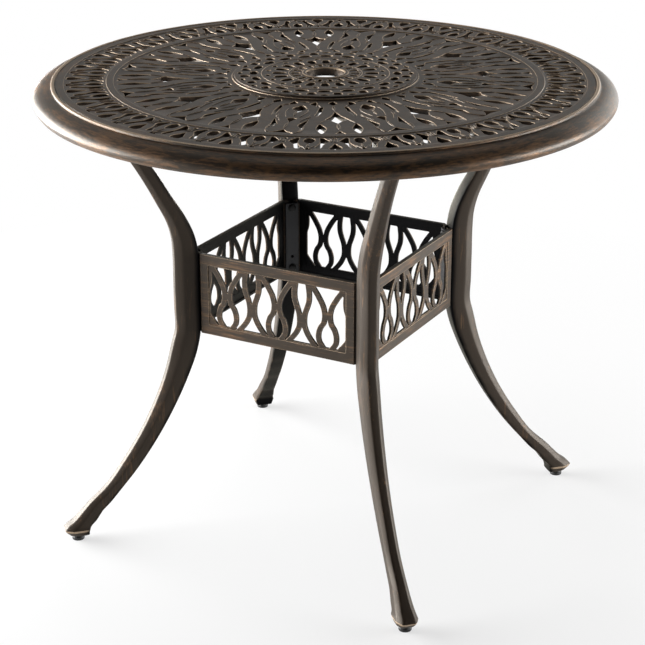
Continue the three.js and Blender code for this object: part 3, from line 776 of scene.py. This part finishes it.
def rim_profile(sizes, plate_end):
    """The bead and the rolled rim. The bead's height is the sine to the power .7 of the way over
    it. The rim is an ellipse outside, a straight skirt, and a smaller ellipse inside that ends
    at the plate's underside."""
    top, wall = sizes.height, sizes.wall
    low = top - sizes.plate
    bead, half_bead = sizes.bead_radius, sizes.bead_width / 2
    centre, middle = sizes.radius - sizes.roll_width, top - sizes.roll_drop
    begin = math.acos((bead + half_bead + JOIN - centre) / sizes.roll_width)
    end = math.radians(ROLL_END)

    def arc(angle, inset):
        """Part of the rim's ellipse, with both half widths less the inset."""
        return np.stack([centre + (sizes.roll_width - inset) * np.cos(angle),
                         middle + (sizes.roll_height - inset) * np.sin(angle), 0 * angle], -1)

    outside = arc(np.linspace(begin, end, 26), 0)
    inside = arc(np.linspace(end, begin, 14), wall)
    inside = inside[inside[:, 1] < low - .0004]
    bend = np.linspace(np.pi, 0, 11)
    # The bead's crest is pale as rubbed wear and as a painted highlight
    crown = np.stack([bead + half_bead * np.cos(bend),
                      top + sizes.bead_rise * np.sin(bend) ** .7,
                      np.clip(1.25 * np.sin(bend), .1, 1)], -1)
    skirt, foot = outside[-1, 0], outside[-1, 1] - sizes.skirt
    return np.vstack([
        [(plate_end, top, 0)], crown, [(bead + half_bead, outside[0, 1] + JOIN, 0)], outside,
        [(skirt, foot + .001, .2), (skirt - .0004, foot + .0003, .5), (skirt - .001, foot, .2),
         (skirt - wall + .001, foot, 0), (skirt - wall, foot + .001, 0)], inside,
        [(plate_end, low, 0)],
    ])


def tabletop_shells(sizes):
    """The whole casting: three openwork zones at their heights, joined by turned profiles for
    the hole ring, the medallion's step, the plain bands, the bead and the rolled rim."""
    n, top, edge = sizes.segments, sizes.height, sizes.edge
    low, raised = top - sizes.plate, top + sizes.medallion_rise
    floor = raised - sizes.medallion
    outer, bore = sizes.medallion_radius, sizes.hole_radius
    step, ring, under = outer - sizes.step_width, bore + sizes.ring_width, bore + sizes.wall
    band_in, band_out = sizes.field_outer + .0004, sizes.border_inner - .0022
    verge = sizes.border_outer + .001
    plate_end = sizes.bead_radius - sizes.bead_width / 2 - JOIN

    def rings(upper, lower):
        """Where another surface goes on, at the upper and at the lower face."""
        return circle(upper, n), circle(lower, n)

    rosette = band_loops(ring, outer, ROSETTE_BAND, ROSETTE_PETAL, ROSETTE_BETWEEN)
    rosette += band_loops(ring + .0012, ring + .0185, ROSETTE_INNER_BAND, ROSETTE_INNER,
                          ROSETTE_INNER_BETWEEN)
    shells = openwork(None, rosette, raised, floor, edge,
                      [rings(ring + JOIN, under), rings(step - JOIN, step)])
    shells.append(turned([(step, floor, 0), (step, low, 0)], n))
    field = (outer, sizes.field_outer, FIELD_BAND)
    border = (sizes.border_inner, sizes.border_outer, BORDER_BAND)
    shells += openwork(None, band_loops(*field, FIELD_CROSSING, FIELD_LOOP, FIELD_SIDE), top, low,
                       edge, [rings(outer + .0006, step), rings(band_in, band_in)])
    shells += openwork(None, band_loops(*border, BORDER_DROP, BORDER_CUP, BORDER_SIDE), top, low,
                       edge, [rings(band_out, band_out), rings(verge, plate_end)])
    shells += band_seams(*field, FIELD_SEAMS, FIELD_LOOP_SEAMS, top)
    shells += band_seams(*border, BORDER_SEAMS, BORDER_CUP_SEAMS, top)
    rise = sizes.band_rise
    profiles = [
        hole_profile(bore, under, ring, floor, raised, raised + sizes.ring_rise),
        step_profile(step, outer, raised, top + sizes.step_rise, top),
        *(line_profile(ring + out * (outer - ring), raised) for out in ROSETTE_LINES),
        slope_profile(band_in, 1, top, rise, .9) + slope_profile(band_out, -1, top, rise, .9)[::-1],
        slope_profile(verge, 1, top, rise, .8) + [(plate_end - .0006, top + rise, .1),
                                                  (plate_end, top, .1)],
        [(band_out, low, 0), (band_in, low, 0)],
        rim_profile(sizes, plate_end),
    ]
    return shells + [turned(profile[::-1], n) for profile in profiles]


def leg_pads(top, legs):
    """The four pads under the border that the legs bolt to."""
    low = top.height - top.plate
    block = openwork(rounded_box(legs.flange_length, legs.flange_width, radius=.004), [],
                     top.pad_drop, 0, edge=.0012)
    pad = [(points * (1, 1, -1) + (legs.flange_radius, 0, low), faces, wear_and_highlight * .2)
           for points, faces, wear_and_highlight in block]
    return [shell for degrees in (45, 135, 225, 315) for shell in quarter_turned(pad, degrees)]


class TabletopOperator(bpy.types.Operator):
    """Makes the openwork top with its medallion, border, bead and rolled rim"""
    bl_idname = "umbrella_table.tabletop"
    bl_label = "Tabletop"

    def execute(self, context):
        sizes, legs = context.scene.table_top, context.scene.table_legs
        bronze = brushed_bronze("bronze_round_the_rim",
                                lambda sheet: sheet.round_the_axis(along=26.0, across=330.0),
                                brown=.68, copper=.58, roughness=.34,
                                warm=lambda sheet: sheet.outwards(near=.404, far=.412, least=.5))
        shells = tabletop_shells(sizes) + leg_pads(sizes, legs)
        x, y, z = all_points(shells).T
        # The underside inside the bead is black painted shade
        unbrushed_painted_shade = ((z < sizes.height - sizes.plate + SHADED_UNDERSIDE)
                  & (np.hypot(x, y) < sizes.bead_radius))
        make_piece("openwork_tabletop", shells, bronze, "tabletop_casting", "bronze_top",
                   brushed=np.where(unbrushed_painted_shade, 0.0, 1.0))
        return {"FINISHED"}


# Legs

SEAT = .0003                    # clearance over a leg's flange
STATION_STEPS = 6               # rings from one station to the next
LEAN_STEPS = 8                  # rings over which the section tips from level to square
FLANGE_HOLE = .0033             # radius of the bolt holes in a leg's flange
SLICES, HALF_SLICE = 60, .009   # slices of the bar in which its near and far sides are found
# Shares of the bar's depth, from its inward face, at which black painted shade gives way to
# brushing, and at which brushing is full
SHADE_TO_BRUSH_FROM, SHADE_TO_BRUSH_TO = .12, .28


def leg_shells(legs, panels, top):
    """One leg in the XZ plane, as its bar and its flange. A chamfered section is carried along a
    smooth curve through the stations, square to it down to the ankle and level in the foot,
    where it ends in a lip over a narrower base. Each ring has its own depth, width and flat."""
    flange_top = top.height - top.plate - top.pad_drop - SEAT

    def span(shares, far, start, end):
        """Stations in metres: outwards from the waist to the far radius, and from the start to
        the end height."""
        shares = np.array(shares)
        return np.column_stack([legs.waist_radius + shares[:, 0] * (far - legs.waist_radius),
                                start + shares[:, 1] * (end - start), shares[:, 2:]])

    upper = span(UPPER_LEG[::-1], legs.flange_radius, panels.top, flange_top - legs.flange / 2)
    lower, foot, base = (span(part, legs.foot_radius, panels.bottom, legs.foot_height)
                         for part in (LOWER_LEG, FOOT, FOOT_BASE))
    waist = np.array([(legs.waist_radius, height, 1, 1, .45) for height in
                      np.linspace(panels.top, panels.bottom, 4)])
    line = smooth_through(np.vstack([upper, waist, lower, foot]), STATION_STEPS, closed=False)
    run = np.gradient(line[:, :2], axis=0)
    lean = np.arctan2(run[:, 0], -run[:, 1])
    steps = np.arange(len(line))
    ankle = len(line) - 1 - STATION_STEPS * (len(foot) - 1)
    lean *= np.clip(steps / LEAN_STEPS, 0, 1) * np.clip((ankle - steps) / LEAN_STEPS, 0, 1)
    line, lean = np.vstack([line, base]), np.append(lean, np.zeros(len(base)))
    corners = np.array([(-.5, -.5), (-.5, legs.shoulder - .5), (-.5, .5), (.5, .5),
                        (.5, legs.shoulder - .5), (.5, -.5)])
    section = np.repeat(corners[None], len(line), 0)
    section[:, 2, 0], section[:, 3, 0] = -line[:, 4] / 2, line[:, 4] / 2
    # Each cut takes that share off both ends of every side, which rounds the corners
    for cut in (.1, .25, .25):
        ahead = np.roll(section, -1, 1)
        section = np.stack([section + cut * (ahead - section), ahead - cut * (ahead - section)],
                           2).reshape(len(line), -1, 2)
    across = section[..., 0] * (line[:, 3] * legs.width)[:, None]
    depth = section[..., 1] * (line[:, 2] * legs.depth)[:, None]
    points = np.stack([line[:, 0, None] + depth * np.cos(lean)[:, None], across,
                       line[:, 1, None] + depth * np.sin(lean)[:, None]], -1)
    # The last ring is repeated a little smaller, which rounds the foot's lower edge
    inset = points[-1:] + (points[-1:].mean(1, keepdims=True) - points[-1:]) * .05
    points = np.concatenate([points, inset])
    points[-2, :, 2] += .0008
    columns = points.shape[1]
    shape = section[len(section) // 2]
    bend = np.abs(np.gradient(np.unwrap(np.arctan2(*np.gradient(shape, axis=0).T))))
    # The section's corners and the foot's lip are pale as rubbed wear and as a painted highlight
    wear_and_highlight = np.tile(np.clip(bend * 1.5, 0, .6), (len(points), 1))
    lip = slice(-len(base) - 2, -len(base))
    wear_and_highlight[lip] = np.maximum(wear_and_highlight[lip], .9)
    wear_and_highlight[-len(base):] = 0
    faces = [ring_quads(len(points), columns), np.arange(columns)[None, ::-1],
             np.arange(columns)[None] + columns * (len(points) - 1)]
    plate = openwork(rounded_box(legs.flange_length, legs.flange_width, radius=.005),
                     [circle(FLANGE_HOLE, 24, (0, side * legs.bolt_spacing / 2))
                      for side in (-1, 1)], 0, -legs.flange, edge=.0008)
    plate = [(spots + (legs.flange_radius, 0, flange_top), blocks, worn_and_highlit * .3)
             for spots, blocks, worn_and_highlit in plate]
    return [(points.reshape(-1, 3), faces, wear_and_highlight.ravel())], plate


class LegsOperator(bpy.types.Operator):
    """Makes the four curved legs with their top flanges"""
    bl_idname = "umbrella_table.legs"
    bl_label = "Legs"

    def execute(self, context):
        scene = context.scene
        bronze = brushed_bronze("bronze_down_the_leg",
                                lambda sheet: sheet.stretched(x=380, y=380, z=26),
                                brown=.34, copper=.18, roughness=.38)
        bar, plate = leg_shells(scene.table_legs, scene.table_panels, scene.table_top)
        spots = all_points(bar)
        levels = np.linspace(spots[:, 2].min(), spots[:, 2].max(), SLICES)
        bands = [spots[np.abs(spots[:, 2] - level) < HALF_SLICE, 0] for level in levels]
        x, _, z = all_points(bar + plate).T
        near, far = (np.interp(z, levels, [pick(band) for band in bands])
                     for pick in (np.min, np.max))
        # The bar's inward side is black painted shade, fading into the brushing
        brushed = ((x - near) / (far - near) - SHADE_TO_BRUSH_FROM) / (SHADE_TO_BRUSH_TO - SHADE_TO_BRUSH_FROM)
        make_four("curved_leg_", bar + plate, bronze, "leg_", "bronze_leg", smooth=32,
                  brushed=np.clip(brushed, 0, 1))
        return {"FINISHED"}


# Side panels

THINNEST = .0016        # narrowest place of an opening between two strands
SHORTEST = 6            # steps of height that an opening has at least
FRONT_DEPTH, FRONT_FADE = .0045, .0015      # where brushing ends and black painted shade begins, and over what it fades


def strand_openings(sizes):
    """Openings between the strands. A strand's edge is its offset at a height, plus or minus
    half its width stretched by its slope; an opening runs where two edges are apart."""
    half = sizes.half - sizes.stile - sizes.lip
    bottom, top = sizes.bottom + sizes.rail + sizes.lip, sizes.top - sizes.rail - sizes.lip
    height = top - bottom
    up = np.linspace(0, 1, 161)
    curves = []
    for shares, along in ((HIGH_STRAND, up), (LOW_STRAND, 1 - up)):
        path = smooth_through(np.array(shares)[:, ::-1], 12, closed=False)
        offset = np.interp(along, path[:, 0], path[:, 1]) * sizes.period
        slope = np.gradient(offset, up * height)
        curves.append((offset, np.sqrt(1 + slope ** 2) * sizes.strand / 2))
    spans = []
    for place in range(-3, 4):
        centre = place * sizes.period / 2
        (offset, reach), (next_offset, next_reach) = curves[place % 2], curves[1 - place % 2]
        spans.append((centre - offset + reach, centre + offset - reach))
        spans.append((centre + offset + reach,
                      centre + sizes.period / 2 - next_offset - next_reach))
    loops = []
    for left, right in spans:
        left, right = np.clip(left, -half, half), np.clip(right, -half, half)
        marks = np.flatnonzero(np.diff(np.concatenate([[0], right - left > THINNEST, [0]])))
        for start, stop in zip(marks[::2], marks[1::2]):
            if stop - start < SHORTEST:
                continue
            rows = slice(start, stop)
            z = bottom + up[rows] * height
            loop = np.vstack([np.column_stack([right[rows], z]),
                              np.column_stack([left[rows], z])[::-1]])
            loops.append(even_steps(anticlockwise(loop), .0024, least=16, most=120))
    return loops


def panel_shells(sizes):
    """The panel that faces -Y: frame, recessed lattice, mitred end flanges and two shelves."""
    half, thick = sizes.half, sizes.end / math.sqrt(2)
    height, middle = sizes.top - sizes.bottom, (sizes.top + sizes.bottom) / 2
    inside = 2 * (half - sizes.stile), height - 2 * sizes.rail
    outline = rounded_box(2 * half, height, radius=.002) + (0, middle)
    window = rounded_box(*inside, radius=.0012, steps=3) + (0, middle)
    fill = rounded_box(inside[0] + .002, inside[1] + .002, radius=.001, steps=3) + (0, middle)
    border = openwork(outline, [window], 0, -sizes.thickness, edge=.0009)
    lattice = openwork(None, strand_openings(sizes), -sizes.recess,
                       -sizes.recess - sizes.lattice, edge=.0009, borders=[(fill, fill)])
    shells = placed(border + lattice, ((1, 0, 0), (0, 0, 1), (0, -1, 0)), (0, -sizes.plane, 0))
    flange = np.array([(half, 0), (half + sizes.slant, sizes.slant),
                       (half + sizes.slant - thick, sizes.slant + thick),
                       (half - 2 * thick, .001), (half - 2 * thick, 0)])
    for side in (-1, 1):
        plan = anticlockwise(flange * (side, 1) - (0, sizes.plane) + (0, .0002))
        shells += openwork(plan, [], sizes.top - .0002, sizes.bottom + .0002, edge=.0004)
    reach = half + sizes.shelf - .001
    shelf = np.array([(-half, .001), (half, .001), (reach, sizes.shelf),
                      (-reach, sizes.shelf)]) - (0, sizes.plane)
    for low in (sizes.bottom, sizes.top - sizes.shelf_thickness):
        shells += openwork(shelf, [], low + sizes.shelf_thickness - .0001, low + .0001,
                           edge=.0005)
    return shells


class PanelsOperator(bpy.types.Operator):
    """Makes the four openwork side panels between the legs"""
    bl_idname = "umbrella_table.panels"
    bl_label = "Side panels"

    def execute(self, context):
        sizes = context.scene.table_panels
        bronze = brushed_bronze("bronze_along_the_panel",
                                lambda sheet: sheet.stretched(x=24, y=24, z=380),
                                brown=.5, copper=.5, roughness=.42, rub_and_highlight=.65)
        shells = panel_shells(sizes)
        # Parts behind the outer face are black painted shade
        outwards = -all_points(shells)[:, 1] - sizes.plane
        make_four("openwork_panel_", shells, bronze, "side_panel_", "bronze_panel", SIDES, 0,
                  smooth=35, brushed=np.clip((outwards + FRONT_DEPTH) / FRONT_FADE, 0, 1))
        return {"FINISHED"}


# Corner strips, bolts, washers and glides

POLE = 1e-6     # radius of a turned profile's ends, which the weld closes to a point


def bolt_heights(context):
    """Heights of the low and the high corner bolt."""
    panels, fasteners = context.scene.table_panels, context.scene.table_fasteners
    return panels.bottom + fasteners.inset, panels.top - fasteners.inset


class CornerStripsOperator(bpy.types.Operator):
    """Makes the flat strips that clamp the panels' ends to the legs"""
    bl_idname = "umbrella_table.corner_strips"
    bl_label = "Corner strips"

    def execute(self, context):
        sizes, panels = context.scene.table_fasteners, context.scene.table_panels
        finish = context.scene.table_finish
        low = panels.bottom + panels.shelf_thickness + .0006
        high = panels.top - panels.shelf_thickness - .0006
        outline = rounded_box(sizes.strip_width, high - low, radius=.001) + (0, (low + high) / 2)
        holes = [circle(sizes.bolt + sizes.gap, 24, (0, height)) for height in
                 bolt_heights(context)]
        holes.append(circle(sizes.spare_hole, 24, (0, low + .23 * (high - low))))
        flat = openwork(outline, holes, 0, -sizes.strip, edge=.0006)
        inner_face = sizes.strip_face - sizes.strip
        flat = placed(flat, ((0, -1, 0), (0, 0, 1), (-1, 0, 0)), (inner_face, 0, 0))
        # The strips' paint is four times as light as the black painted shade of the inner sides
        paint = plain_finish("black_satin_paint", tuple(4 * value for value in finish.black),
                             evenness=.4, metallic=.2, grain=260)
        make_four("flat_strip_", flat, paint, "corner_strip_", "dark_strip")
        return {"FINISHED"}


def bolt_shells(sizes, reach):
    """A round-headed bolt that points up +Z from the underside of its head at height zero. The
    head is an arc of an ellipse over a short straight rim."""
    bend = np.linspace(0, np.pi / 2, 9)
    rim = sizes.head_height * .3
    dome = np.stack([sizes.head * np.cos(bend),
                     -rim - (sizes.head_height - rim) * np.sin(bend), 0 * bend], -1)
    dome[-1, 0] = POLE
    profile = np.vstack([dome[::-1], [(sizes.head, -.0003, .1), (sizes.head - .0003, 0, 0),
                                      (sizes.bolt, 0, 0), (sizes.bolt, reach - .0008, 0),
                                      (sizes.bolt - .0008, reach, 0), (POLE, reach, 0)]])
    return [turned(profile, 32)]


class BoltsOperator(bpy.types.Operator):
    """Makes the corner bolts, the leg-to-top bolts and their washers"""
    bl_idname = "umbrella_table.bolts"
    bl_label = "Bolts and washers"

    def execute(self, context):
        scene = context.scene
        sizes, legs, top = scene.table_fasteners, scene.table_legs, scene.table_top
        steel = plain_finish("dark_plated_steel", tuple(scene.table_finish.steel),
                             evenness=.34, metallic=.85, grain=900)
        head_face = sizes.strip_face - sizes.strip - sizes.gap
        face = legs.waist_radius - legs.depth / 2
        corner = bolt_shells(sizes, face + sizes.bite - head_face)
        pad = top.height - top.plate - top.pad_drop
        washer_top = pad - 2 * sizes.gap - legs.flange
        head_top = washer_top - sizes.washer_thickness - sizes.gap
        upright = bolt_shells(sizes, pad + sizes.bite - head_top)
        hole, rim, thick = sizes.bolt + sizes.gap, sizes.washer, sizes.washer_thickness
        washer = [turned([(hole, 0, 0), (hole, -thick, 0), (rim - .0002, -thick, 0),
                          (rim, -thick + .0002, 0), (rim, -.0002, 0), (rim - .0002, 0, 0),
                          (hole, 0, 0)], 32)]
        for level, height in zip(("low", "high"), bolt_heights(context)):
            lying = placed(corner, ((0, 1, 0), (0, 0, 1), (1, 0, 0)), (head_face, 0, height))
            make_four(f"round_bolt_{level}_", lying, steel, f"corner_bolt_{level}_", "zinc_bolt")
        for letter, side in (("a", -1), ("b", 1)):
            for kind, shells, height in (("bolt", upright, head_top),
                                         ("washer", washer, washer_top)):
                spot = (legs.flange_radius, side * legs.bolt_spacing / 2, height)
                make_four(f"flange_{kind}_{letter}_", placed(shells, np.eye(3), spot), steel,
                          f"top_{kind}_{letter}_", "zinc_bolt")
        return {"FINISHED"}


class GlidesOperator(bpy.types.Operator):
    """Makes the levelling glides that screw out of the feet"""
    bl_idname = "umbrella_table.glides"
    bl_label = "Levelling glides"

    def execute(self, context):
        sizes, legs = context.scene.table_fasteners, context.scene.table_legs
        rim, neck, stud = sizes.glide, sizes.neck, sizes.stud
        foot, pad = sizes.glide_foot, legs.foot_height - sizes.gap
        end = pad + sizes.stud_length
        profile = [(POLE, 0, 0), (rim - .0012, 0, 0), (rim - .0003, .0003, 0), (rim, .0012, 0),
                   (rim, foot - .0008, 0), (rim - .0004, foot - .0002, 0), (rim - .001, foot, 0),
                   (neck + .0006, pad - .0006, 0), (neck, pad, 0), (stud, pad, 0),
                   (stud, end - .001, 0), (stud - .001, end, 0), (POLE, end, 0)]
        shells = placed([turned(profile, 40)], np.eye(3), (legs.foot_radius, 0, 0))
        moulded = plain_finish("moulded_pad", tuple(context.scene.table_finish.pad),
                               evenness=.6, metallic=0, grain=700)
        make_four("glide_pad_", shells, moulded, "levelling_glide_", "black_glide", body="glide_")
        return {"FINISHED"}


# Floor, light and camera

# The lamps: name, place, point looked at, width, depth, and factor on the lamps' strength
LAMPS = (
    ("overhead_lamp", (-.4, .8, 3.2), (0, 0, .5), 2.0, 2.0, .2),
    ("left_lamp", (-2.3, -.6, .65), (0, 0, .6), 2.6, 1.3, 5.4),
    ("right_lamp", (2.2, 1.1, .5), (0, 0, .6), 1.6, 1.0, 1.8),
    ("back_left_lamp", (-1.6, 1.9, .3), (0, 0, .6), 1.5, .5, .7),
    ("back_right_lamp", (.7, 2.3, 1.0), (0, 0, .6), 1.4, 1.4, .35),
)
# The surroundings are brighter beyond the table and near the horizon: an axis, the two cosines
# of the angle to it between which the light changes, and its share at each
SKY = (((-.478, .878, 0), -.3, .95, .12, 1), ((0, 0, 1), .25, .8, 1, .15))
FLOOR_RADIUS, FLOOR_LEVEL = 7, -.0002
CAMERA_PLACE, CAMERA_TURN = (1.3379, -2.4559, 1.4482), (68.2, 0, 28.6)
CAMERA_LENS, CAMERA_SHIFT = 103.95, -.0036
WHITE = (1, 1, 1, 1)


def soft_lamp(name, place, aim, width, depth, power):
    """One rectangular lamp that looks at a point."""
    lamp = bpy.data.lights.new(name, "AREA")
    lamp.shape, lamp.size, lamp.size_y, lamp.energy = "RECTANGLE", width, depth, power
    holder = bpy.data.objects.new(name, lamp)
    holder.location = place
    holder.visible_camera = False
    holder.rotation_euler = (Vector(aim) - Vector(place)).to_track_quat("-Z", "Y").to_euler()
    bpy.context.scene.collection.objects.link(holder)


def white_room(strength):
    """Surroundings that are white to the camera. The light that they give is the strength times
    a ramp along each axis of the sky."""
    sheet = NodeSheet(bpy.data.worlds.new("white_room"))
    sheet.tree.nodes.clear()
    facing = sheet.add("ShaderNodeTexCoord")
    for axis, low, high, start, end in SKY:
        along = sheet.add("ShaderNodeVectorMath", {0: facing, 1: axis}, output=1,
                          operation="DOT_PRODUCT")
        strength = sheet.times(strength, sheet.ramp(along, low, high, start, end,
                                                    interpolation_type="SMOOTHSTEP"))
    light, seen = (sheet.add("ShaderNodeBackground", {"Color": WHITE, "Strength": level})
                   for level in (strength, 1.0))
    out = sheet.tree.nodes.new("ShaderNodeOutputWorld")
    sheet.put(out.inputs[0], sheet.add("ShaderNodeMixShader", {
        0: sheet.add("ShaderNodeLightPath"), 1: light, 2: seen}))
    return sheet.owner


def floor_finish(settings):
    """A pale floor, partly plain white where the camera sees it and where metal mirrors it. Both
    shares rise with the distance from the point under the table, up to 1."""
    sheet = NodeSheet(bpy.data.materials.new("white_floor"))
    pale = tuple(settings.floor)
    grain = sheet.noise(sheet.place(), 3.0, detail=2.0)
    sheet.surface({"Base Color": sheet.mix(grain, tuple(.99 * value for value in pale), pale),
                   "Roughness": .85})
    away = sheet.add("ShaderNodeVectorMath", {0: sheet.place()}, output=1, operation="LENGTH")
    mirrored = sheet.times(sheet.add("ShaderNodeLightPath", output=3),
                           sheet.ramp(away, .8, 2.1, .12))
    seen = sheet.times(sheet.add("ShaderNodeLightPath"),
                       sheet.ramp(away, .5, 1.6, settings.near))
    glow = sheet.add("ShaderNodeEmission", {"Color": WHITE, "Strength": 1.0})
    output = next(node for node in sheet.tree.nodes if node.type == "OUTPUT_MATERIAL")
    sheet.put(output.inputs[0], sheet.add("ShaderNodeMixShader", {
        0: sheet.plus(mirrored, seen), 1: sheet.shader.outputs[0], 2: glow}))
    return sheet.owner


class StageOperator(bpy.types.Operator):
    """Sets the floor, the white surroundings, the lamps and the camera"""
    bl_idname = "umbrella_table.stage"
    bl_label = "Stage"

    def execute(self, context):
        scene, settings = context.scene, context.scene.table_stage
        scene.view_settings.view_transform = "Standard"
        scene.world = white_room(settings.sky)
        outline = np.insert(circle(FLOOR_RADIUS, 64), 2, FLOOR_LEVEL, 1)
        mesh = bpy.data.meshes.new("studio_floor")
        mesh.from_pydata(outline.tolist(), [], [tuple(range(len(outline)))])
        mesh.materials.append(floor_finish(settings))
        floor = bpy.data.objects.new("studio_floor", mesh)
        scene.collection.objects.link(floor)
        for *lamp, power in LAMPS:
            soft_lamp(*lamp, power * settings.lamp)
        camera = bpy.data.cameras.new("photo_camera")
        camera.lens, camera.sensor_width = CAMERA_LENS, 36.0
        camera.shift_x, camera.clip_end = CAMERA_SHIFT, 50.0
        holder = bpy.data.objects.new("photo_camera", camera)
        holder.location = CAMERA_PLACE
        holder.rotation_euler = [math.radians(angle) for angle in CAMERA_TURN]
        scene.collection.objects.link(holder)
        scene.camera = holder
        return {"FINISHED"}


OPERATORS = (TabletopOperator, LegsOperator, PanelsOperator, CornerStripsOperator, BoltsOperator,
             GlidesOperator, StageOperator)


class UmbrellaTablePanel(bpy.types.Panel):
    """Sizes, colours and makers of the umbrella table"""
    bl_idname = "UMBRELLA_TABLE_PT_sidebar"
    bl_label = "Umbrella Table"
    bl_space_type = "VIEW_3D"
    bl_region_type = "UI"
    bl_category = "Umbrella Table"

    def draw(self, context):
        for name, group in SETTINGS.items():
            box = self.layout.box()
            box.label(text=group.__doc__)
            for key in group.__annotations__:
                box.prop(getattr(context.scene, name), key)
        for operator in OPERATORS:
            self.layout.operator(operator.bl_idname)


def register():
    for group in SETTINGS.values():
        bpy.utils.register_class(group)
    for name, group in SETTINGS.items():
        setattr(bpy.types.Scene, name, PointerProperty(type=group))
    for item in (*OPERATORS, UmbrellaTablePanel):
        bpy.utils.register_class(item)


def unregister():
    for item in (UmbrellaTablePanel, *reversed(OPERATORS)):
        bpy.utils.unregister_class(item)
    for name in SETTINGS:
        delattr(bpy.types.Scene, name)
    for group in reversed(list(SETTINGS.values())):
        bpy.utils.unregister_class(group)


def main():
    """Registers the classes and makes every piece and the stage."""
    register()
    for name in ("tabletop", "legs", "panels", "corner_strips", "bolts", "glides", "stage"):
        getattr(bpy.ops.umbrella_table, name)()
    bpy.context.view_layer.update()


if __name__ == "__main__":
    main()
